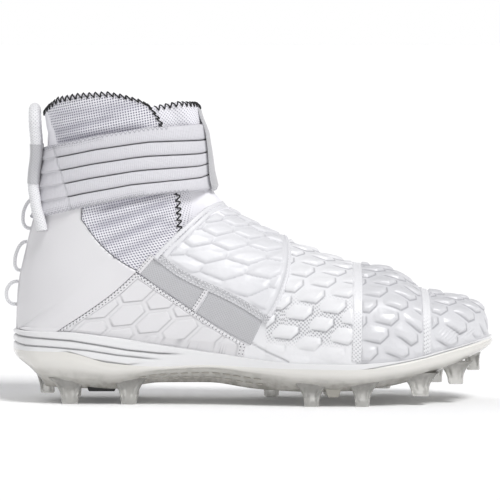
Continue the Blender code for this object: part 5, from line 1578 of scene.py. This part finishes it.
def sole_layer(name, profile, count, across, mark_names):
    """Rings of a side profile round the sole, joined across its top and bottom."""
    stations = sole_stations(count)
    spine = outline(stations, -1, np.zeros_like(stations))[:, 0]
    rings = profile(spine)
    share = np.linspace(0, 1, across + 1)[1:-1]
    lateral, medial = (
        np.stack([np.column_stack([outline(stations, side, ring[0]), ring[1]]) for ring in rings], axis=1)
        for side in (-1, 1)
    )
    top = lateral[:, :1] + share[None, :, None] * (medial[:, :1] - lateral[:, :1])
    bottom = medial[:, -1:] + share[None, :, None] * (lateral[:, -1:] - medial[:, -1:])
    shell = np.concatenate([lateral[:, :1], top, medial, bottom, lateral[:, :0:-1]], axis=1)
    rows, columns = shell.shape[:2]
    index = np.arange(rows * columns).reshape(rows, columns)
    nxt = np.roll(index, -1, axis=1)
    faces = np.stack([index[:-1], index[1:], nxt[1:], nxt[:-1]], axis=-1).reshape(-1, 4)
    mesh = bpy.data.meshes.new(name)
    mesh.from_pydata((shell.reshape(-1, 3) + SHIFT).tolist(), [], faces.tolist())
    flat = np.zeros((count, across - 1))
    for number, key in enumerate(mark_names):
        wall = np.stack([np.broadcast_to(ring[2 + number], stations.shape) for ring in rings], axis=1)
        value = np.concatenate([wall[:, :1], flat, wall, wall[:, -1:] + flat, wall[:, :0:-1]], axis=1)
        set_mark(mesh, key, value.ravel())
    finish_mesh(mesh, 55)
    turned_out(mesh)
    return mesh


def lip(x):
    """How far the sole stands out past the upper at x."""
    share = np.clip(x / LAST_LENGTH, 0, 1)
    return 0.0034 + (0.0016 - 0.0034) * np.clip(2.2 * share, 0, 1)


def carrier():
    """The white carrier with the grooves that run round the heel and fade along the arch."""
    finish = finishes()
    shares = np.concatenate([[0, 0.02, 0.05], np.linspace(0.1, 1.0, 40)])

    def profile(x):
        top = sole_height("feather", x) + 0.0004
        low = sole_height("joint", x)
        feather_line = smoothstep(120, 160, x / MM) * smoothstep(291, 284, x / MM)
        toe_line = np.interp(x / MM, *np.array(GROOVES[-1].points).T)
        rings = []
        for share in shares:
            z = top + share * (low - top)
            pearl = smoothstep(204, 222, x / MM) * smoothstep(0.1, -0.6, z / MM - toe_line)
            # The cut's depth is both the groove's relief and its painted shade
            cut = 0.5 * feather_line * smoothstep(0.08, 0.0, share)
            for groove in GROOVES:
                xs, zs = np.array(groove.points).T
                middle = np.interp(x / MM, xs, zs)
                fade = smoothstep(xs[0] - 6, xs[0] + 4, x / MM) * smoothstep(xs[-1] + 4, xs[-1] - 12, x / MM)
                near = np.exp(-(((z / MM - middle) / groove.half_width) ** 2))
                cut = np.maximum(cut, fade * near * groove.depth)
            tuck = 0.0012 * np.sqrt(max(0.0, 1 - min(1.0, share / 0.05) ** 2)) if share < 0.05 else 0.0
            rings.append((lip(x) - tuck - cut * MM, z, cut, pearl))
        return rings

    mesh = sole_layer("sole_carrier", profile, 380, 8, ["groove", "pearl"])
    show("sole_carrier", mesh, [finish["carrier"]], ["midsole"])


def plate():
    """The clear plate with its studs, the ribs under its arch and the black inserts between its studs."""
    finish = finishes()

    def profile(x):
        top = sole_height("joint", x)
        edge = sole_height("edge", x)
        low = sole_height("bottom", x)
        heel = smoothstep(0.055, 0.0, x / LAST_LENGTH)
        rings = []
        for share in np.linspace(0, 1, 18):
            z = top + share * (edge - top)
            bulge = 0.0009 * np.sin(np.pi * min(1.0, share * 1.15)) - 0.0025 * share**3
            # The plate darkens down its lower side and over its underside: partly smoky TPU, partly painted
            # shade
            deep = 0.45 * smoothstep(0.55, 1.0, share)
            rings.append((lip(x) + bulge - 0.007 * heel * share**1.3, z, np.full_like(x, deep)))
        for share in np.linspace(0.12, 1, 10):
            z = edge + share * (low - edge)
            grow = lip(x) - 0.0020 - 0.007 * heel - share * (0.0105 + 0.003 * (1 - share))
            rings.append((grow, z, np.full_like(x, 0.45 + 0.5 * share)))
        return rings

    mesh = sole_layer("sole_plate", profile, 320, 14, ["deep"])
    show("sole_plate", mesh, [finish["plate"]], ["outsole"])
    stations = np.linspace(0, 1, 400)
    edges = {side: outline(stations, side, np.zeros_like(stations)) for side in (-1, 1)}

    def reach(side, x):
        line = edges[side]
        return float(np.interp(-x, -line[:, 0], line[:, 1]))

    points, faces, deep = [], [], []
    sides = 48
    levels = np.concatenate([np.linspace(0, 0.93, 15), [0.97, 1.0]])
    for stud in STUDS:
        x = stud.along * LAST_LENGTH
        middle = (reach(-1, x) + reach(1, x)) / 2
        y = reach(stud.side, x) - stud.side * STUD_INSET * MM if stud.side else middle
        top = float(sole_height("edge", x)) * 0.45 + float(sole_height("bottom", x)) * 0.55 + 0.003
        low = stud.tip * MM
        first = len(points)
        for share in levels:
            z = top + share * (low - top)
            flare = 1 + (1.5 if stud.side else 0.4) * (1 - share) ** 2.6
            flare *= 1 - 0.10 * max(0.0, share - 0.93) / 0.07
            half_long = stud.length / 2 * MM * flare
            half_wide = stud.width / 2 * MM * (1 + 0.6 * (1 - share) ** 2)
            for m in range(sides):
                turn = 2 * math.pi * (m + 0.5) / sides
                square = (abs(math.cos(turn)) ** 4 + abs(math.sin(turn)) ** 4) ** -0.25
                place = abs(square * math.cos(turn))
                groove = math.exp(-(((place - 0.55) / 0.16) ** 2))
                flute = 1 - 0.30 * math.sin(math.pi * min(1, share * 1.05)) * groove
                points.append((
                    x + stud.lean * MM * share + half_long * square * math.cos(turn),
                    y + half_wide * square * flute * math.sin(turn), z))
                # Each stud darkens towards its root under the plate: partly smoky TPU, partly painted shade
                deep.append(0.30 + 0.35 * (1 - share) ** 2)
        for k in range(len(levels) - 1):
            for m in range(sides):
                n = (m + 1) % sides
                faces.append((first + k * sides + m, first + (k + 1) * sides + m,
                              first + (k + 1) * sides + n, first + k * sides + n))
        faces.append(tuple(first + m for m in range(sides)))
        last = first + (len(levels) - 1) * sides
        faces.append(tuple(last + m for m in reversed(range(sides))))
    mesh = bpy.data.meshes.new("sole_studs")
    mesh.from_pydata((np.array(points) + SHIFT).tolist(), [], faces)
    set_mark(mesh, "deep", deep)
    turned_out(mesh)
    shade(mesh, 40)
    show("sole_studs", mesh, [finish["stud"]], ["outsole"])
    ribs = []
    for drop in (0.30, 0.62):
        xs = np.linspace(0.078, 0.150, 40) + drop * 0.004
        for side in (-1, 1):
            high = sole_height("edge", xs)
            z = high + drop * (sole_height("bottom", xs) - high)
            y = [reach(side, x) for x in xs] + side * (lip(xs) - 0.0022 - drop * 0.0115)
            ribs.append(np.column_stack([xs, y, z]))
    sizes = {"Radius": 0.0008, "Pitch": 0.0066, "Length": 0.0050}
    sewn("arch_ribs", ribs, stitch_tree(), finish["rib"], sizes)
    for name, look, start, stop, high, low in INSERTS:
        bm = bmesh.new()
        bmesh.ops.create_cube(bm, size=1)
        wide = [reach(side, (start + stop) / 2) - side * INSERT_INSET for side in (-1, 1)]
        for vertex in bm.verts:
            narrow = INSERT_TAPER if vertex.co.z < 0 else 0.0
            vertex.co.x = (start + narrow) if vertex.co.x < 0 else (stop - narrow)
            vertex.co.y = wide[0] + narrow if vertex.co.y < 0 else wide[1] - narrow
            vertex.co.z = high if vertex.co.z > 0 else low
            vertex.co += Vector(SHIFT)
        bmesh.ops.bevel(bm, geom=bm.edges[:], offset=0.0008, segments=3, affect="EDGES", profile=0.5)
        mesh = bpy.data.meshes.new(name)
        bm.to_mesh(mesh)
        bm.free()
        turned_out(mesh)
        shade(mesh, 40)
        show(name, mesh, [finish[look]], ["outsole"])


def insole():
    """The sockliner, dished to the carrier and clear of the wall."""
    finish = finishes()

    def profile(x):
        low = sole_height("feather", x) + 0.0006
        grow = np.full_like(x, -0.0048)
        steps = ((0.006, 0.0022), (0.003, 0.0028), (0.0008, 0.0039), (0, 0.0036), (0, 0.001), (0.001, 0))
        return [(grow - inwards, low + up) for inwards, up in steps]

    mesh = sole_layer("sockliner", profile, 160, 12, [])
    show("sockliner", mesh, [finish["insole"]], ["insole"])


def smooth_route(points, count):
    """Points at equal steps on a smooth curve through a hand-chosen route."""
    points = np.asarray(points, float)
    chords = np.linalg.norm(np.diff(points, axis=0), axis=1)
    knots = np.concatenate([[0], np.cumsum(np.sqrt(chords))])
    padded = np.vstack([2 * points[0] - points[1], points, 2 * points[-1] - points[-2]])
    slopes = (padded[2:] - padded[:-2]) / (2 * np.gradient(knots))[:, None]
    fine = np.linspace(0, knots[-1], 12 * len(points))
    k = np.clip(np.searchsorted(knots, fine) - 1, 0, len(points) - 2)
    step = (knots[k + 1] - knots[k])[:, None]
    u = ((fine - knots[k])[:, None]) / step
    curve = (
        (2 * u**3 - 3 * u**2 + 1) * points[k]
        + (u**3 - 2 * u**2 + u) * step * slopes[k]
        + (3 * u**2 - 2 * u**3) * points[k + 1]
        + (u**3 - u**2) * step * slopes[k + 1]
    )
    walked = walk(curve)
    return read_off(np.linspace(0, walked[-1], count), walked, curve)


def cord(name, route, radii, finish, nodes, sides):
    """A round cord along a route, with a UV map in metres round and along it."""
    tangent = np.gradient(route, axis=0)
    tangent /= np.linalg.norm(tangent, axis=1, keepdims=True)
    normal = np.zeros_like(route)
    normal[0] = np.cross(tangent[0], (0.31, 0.87, 0.39))
    for k in range(1, len(route)):
        normal[k] = normal[k - 1] - tangent[k] * (normal[k - 1] @ tangent[k])
        normal[k] /= np.linalg.norm(normal[k])
    normal[0] = normal[1]
    other = np.cross(tangent, normal)
    turn = np.linspace(0, 2 * np.pi, sides + 1)[:-1]
    radii = np.broadcast_to(radii, len(route))
    points = (route[:, None] + radii[:, None, None] * (
        np.cos(turn)[None, :, None] * normal[:, None] + np.sin(turn)[None, :, None] * other[:, None]))
    count = len(route)
    index = np.arange(count * sides).reshape(count, sides)
    nxt = np.roll(index, -1, axis=1)
    faces = np.stack([index[:-1], nxt[:-1], nxt[1:], index[1:]], axis=-1).reshape(-1, 4).tolist()
    faces.append(index[0][::-1].tolist())
    faces.append(index[-1].tolist())
    mesh = bpy.data.meshes.new(name)
    mesh.from_pydata((points.reshape(-1, 3) + SHIFT).tolist(), [], faces)
    walked = walk(route)
    layer = mesh.uv_layers.new(name="surface")
    girth = 2 * np.pi * float(radii.mean())
    for polygon in mesh.polygons:
        closing = len(polygon.vertices) == 4 and max(v % sides for v in polygon.vertices) == sides - 1
        for corner, vertex in zip(polygon.loop_indices, polygon.vertices):
            along = walked[vertex // sides]
            wrap = vertex % sides
            if wrap == 0 and closing:
                wrap = sides
            layer.data[corner].uv = (girth * wrap / sides, along)
    turned_out(mesh)
    mesh.shade_smooth()
    return show(name, mesh, [finish], nodes)


def back_seam(level):
    """The point of the form's back seam at a level."""
    s = np.linspace(HEEL, 1, 900)
    points = on_form(s, np.ones_like(s))
    z = float(height(level))
    return np.array([np.interp(z, points[:, 2], points[:, 0]), 0.0, z])


def behind_form(level, y, stand):
    """A point at a level and a distance y from the back seam that stands off the form."""
    low = int(HEEL * FORM_ROWS)
    half = FORM_COLUMNS // 2
    back = LATTICE[low:, FORM_COLUMNS + half :]
    z = float(height(level))
    i, j = np.unravel_index(np.argmin(np.hypot(back[..., 1] - y, back[..., 2] - z)), back.shape[:2])
    s = (low + i) / FORM_ROWS
    t = (half + j) / FORM_COLUMNS
    normal = outward(np.array([s]), np.array([t]))[0]
    return np.array([on_form(s, t)[0] + stand * normal[0], y + stand * normal[1] * (y != 0), z])


def heel_cords():
    """The ribbed pull cord in its woven sleeve, and the three thin loops on the back seam."""
    finish = finishes()
    strand = []
    for level, spread, stand in PULL_CORD_ROUTE:
        strand.append(behind_form(level, -spread * PULL_CORD_SPREAD, stand * PULL_CORD_DIAMETER))
    strand = np.array(strand)
    route = smooth_route(np.vstack([strand, strand[-2::-1] * (1, -1, 1)]), 240)
    radii = PULL_CORD_DIAMETER / 2 * (1 + 0.035 * np.cos(np.arange(240) * np.pi / 2))
    cord("pull_cord", route, radii, finish["cord"], ["pull_loop"], 24)
    half = route[: len(route) // 2]
    heights = height(SLEEVE_LEVELS)
    half = half[(half[:, 2] > heights[0]) & (half[:, 2] < heights[1])]
    half = read_off(np.linspace(0, 1, 30), np.linspace(0, 1, len(half)), half)
    turn = np.linspace(0, 2 * np.pi, 65)[:-1]
    shells = []
    for extra in (0.0007, 0.0002):
        deep = PULL_CORD_DIAMETER / 2 + extra
        wide = deep + np.abs(half[:, 1:2])
        back = np.sign(np.cos(turn)) * np.abs(np.cos(turn)) ** 0.55 * deep
        out = np.sign(np.sin(turn)) * np.abs(np.sin(turn)) ** 0.55 * wide
        shells.append(np.stack([half[:, :1] + back, out, half[:, 2:] + 0 * out], axis=-1))
    mesh = grid_mesh("cord_sleeve", shells[0], shells[1], ring=True, lining=False)
    finish_mesh(mesh)
    show("cord_sleeve", mesh, [finish["tape"]], ["pull_loop_sleeve"])
    for loop in HEEL_LOOPS:
        low = back_seam(loop.low)
        high = back_seam(loop.high)
        bulge = []
        for angle in np.linspace(0, np.pi, 11):
            share = (1 - np.cos(angle)) / 2
            reach = 0.0018 + share * (loop.stand - 0.0018) + loop.reach * np.sin(angle) ** 0.8
            bulge.append(low + (high - low) * share - (reach, 0, 0))
        route = smooth_route(bulge, 60)
        cord(loop.name + "_cord", route, HEEL_CORD_DIAMETER / 2, finish["cord"], [loop.name], 12)


def stage():
    """A pale seamless floor, soft studio light and the camera at the photograph's angle."""
    scene = bpy.context.scene
    bpy.ops.mesh.primitive_plane_add(size=60)
    floor = bpy.context.object
    floor.name = "studio_floor"
    paper = bpy.data.materials.new("seamless_paper")
    paper.use_nodes = True
    shader = paper.node_tree.nodes["Principled BSDF"]
    shader.inputs["Base Color"].default_value = (*linear("FAFAFA"), 1)
    shader.inputs["Roughness"].default_value = 0.9
    shader.inputs["Specular IOR Level"].default_value = 0.1
    shader.inputs["Emission Color"].default_value = (1, 1, 1, 1)
    shader.inputs["Emission Strength"].default_value = 0.06
    floor.data.materials.append(paper)
    world = bpy.data.worlds.new("studio")
    world.use_nodes = True
    tree = world.node_tree
    level = wire(tree, "ShaderNodeSeparateXYZ", {0: wire(tree, "ShaderNodeTexCoord")["Generated"]})["Z"]
    sky = mixed(tree, step_up(tree, level, 0.10, 0.35), (1.0, 1.0, 1.0), (0.36, 0.36, 0.37))
    tree.links.new(sky, tree.nodes["Background"].inputs["Color"])
    scene.world = world
    for name, spot, spread, power in (
        ("key_softbox", (0.45, -0.60, 1.05), 22, 2.1), ("back_softbox", (-0.7, 0.8, 0.9), 40, 0.5),
    ):
        lamp = bpy.data.lights.new(name, "SUN")
        lamp.angle = math.radians(spread)
        lamp.energy = power
        lit = bpy.data.objects.new(name, lamp)
        lit.rotation_euler = Vector(spot).to_track_quat("Z", "Y").to_euler()
        scene.collection.objects.link(lit)
    view = bpy.data.cameras.new("camera")
    view.sensor_width = 36
    view.angle = 2 * math.atan(CAMERA_WIDTH / 2 / CAMERA_DISTANCE)
    eye = bpy.data.objects.new("camera", view)
    back, up = CAMERA_DISTANCE * math.cos(CAMERA_RISE), CAMERA_DISTANCE * math.sin(CAMERA_RISE)
    eye.location = (CAMERA_AIM[0], -back, CAMERA_AIM[2] + up)
    eye.rotation_euler = (math.pi / 2 - CAMERA_RISE, 0, 0)
    scene.collection.objects.link(eye)
    scene.camera = eye
    scene.view_settings.view_transform = "Standard"


def operator(name, label, words, work):
    """An operator class that makes one piece or group of pieces."""

    def execute(self, context):
        work()
        return {"FINISHED"}

    made = {"__doc__": words, "bl_idname": "cleat." + name, "bl_label": label, "execute": execute}
    return type("CLEAT_OT_" + name, (bpy.types.Operator,), made)


OPERATORS = [
    operator(work.__name__, label, work.__doc__, work)
    for work, label in (
        (vamp_shell, "Vamp Shell"), (collar_shell, "Collar"), (tongue, "Tongue"), (ankle_strap, "Ankle Strap"),
        (midfoot_shroud, "Midfoot Shroud"), (heel_panel, "Heel Panel"), (quarter_overlay, "Quarter Overlay"),
        (side_tapes, "Side Tapes"), (toe_tapes, "Toe Tapes"), (carrier, "Sole Carrier"),
        (plate, "Plate and Studs"), (insole, "Insole"), (heel_cords, "Heel Cords"), (stage, "Stage"),
    )
]


class CLEAT_PT_panel(bpy.types.Panel):
    """Lists the cleat's sizes, colours and makers."""

    bl_label = "Football Cleat"
    bl_idname = "CLEAT_PT_panel"
    bl_space_type = "VIEW_3D"
    bl_region_type = "UI"
    bl_category = "Cleat"

    def draw(self, context):
        for group in (context.scene.cleat_sizes, context.scene.cleat_colours):
            column = self.layout.column()
            for key in group.__annotations__:
                column.prop(group, key)
        for made in OPERATORS:
            self.layout.operator(made.bl_idname)


CLASSES = [CleatColours, CleatSizes, *OPERATORS, CLEAT_PT_panel]


def register():
    for made in CLASSES:
        bpy.utils.register_class(made)
    bpy.types.Scene.cleat_colours = PointerProperty(type=CleatColours)
    bpy.types.Scene.cleat_sizes = PointerProperty(type=CleatSizes)


def unregister():
    del bpy.types.Scene.cleat_sizes
    del bpy.types.Scene.cleat_colours
    for made in reversed(CLASSES):
        bpy.utils.unregister_class(made)


def main():
    register()
    for made in OPERATORS:
        getattr(bpy.ops.cleat, made.bl_idname.split(".")[1])()


if __name__ == "__main__":
    main()
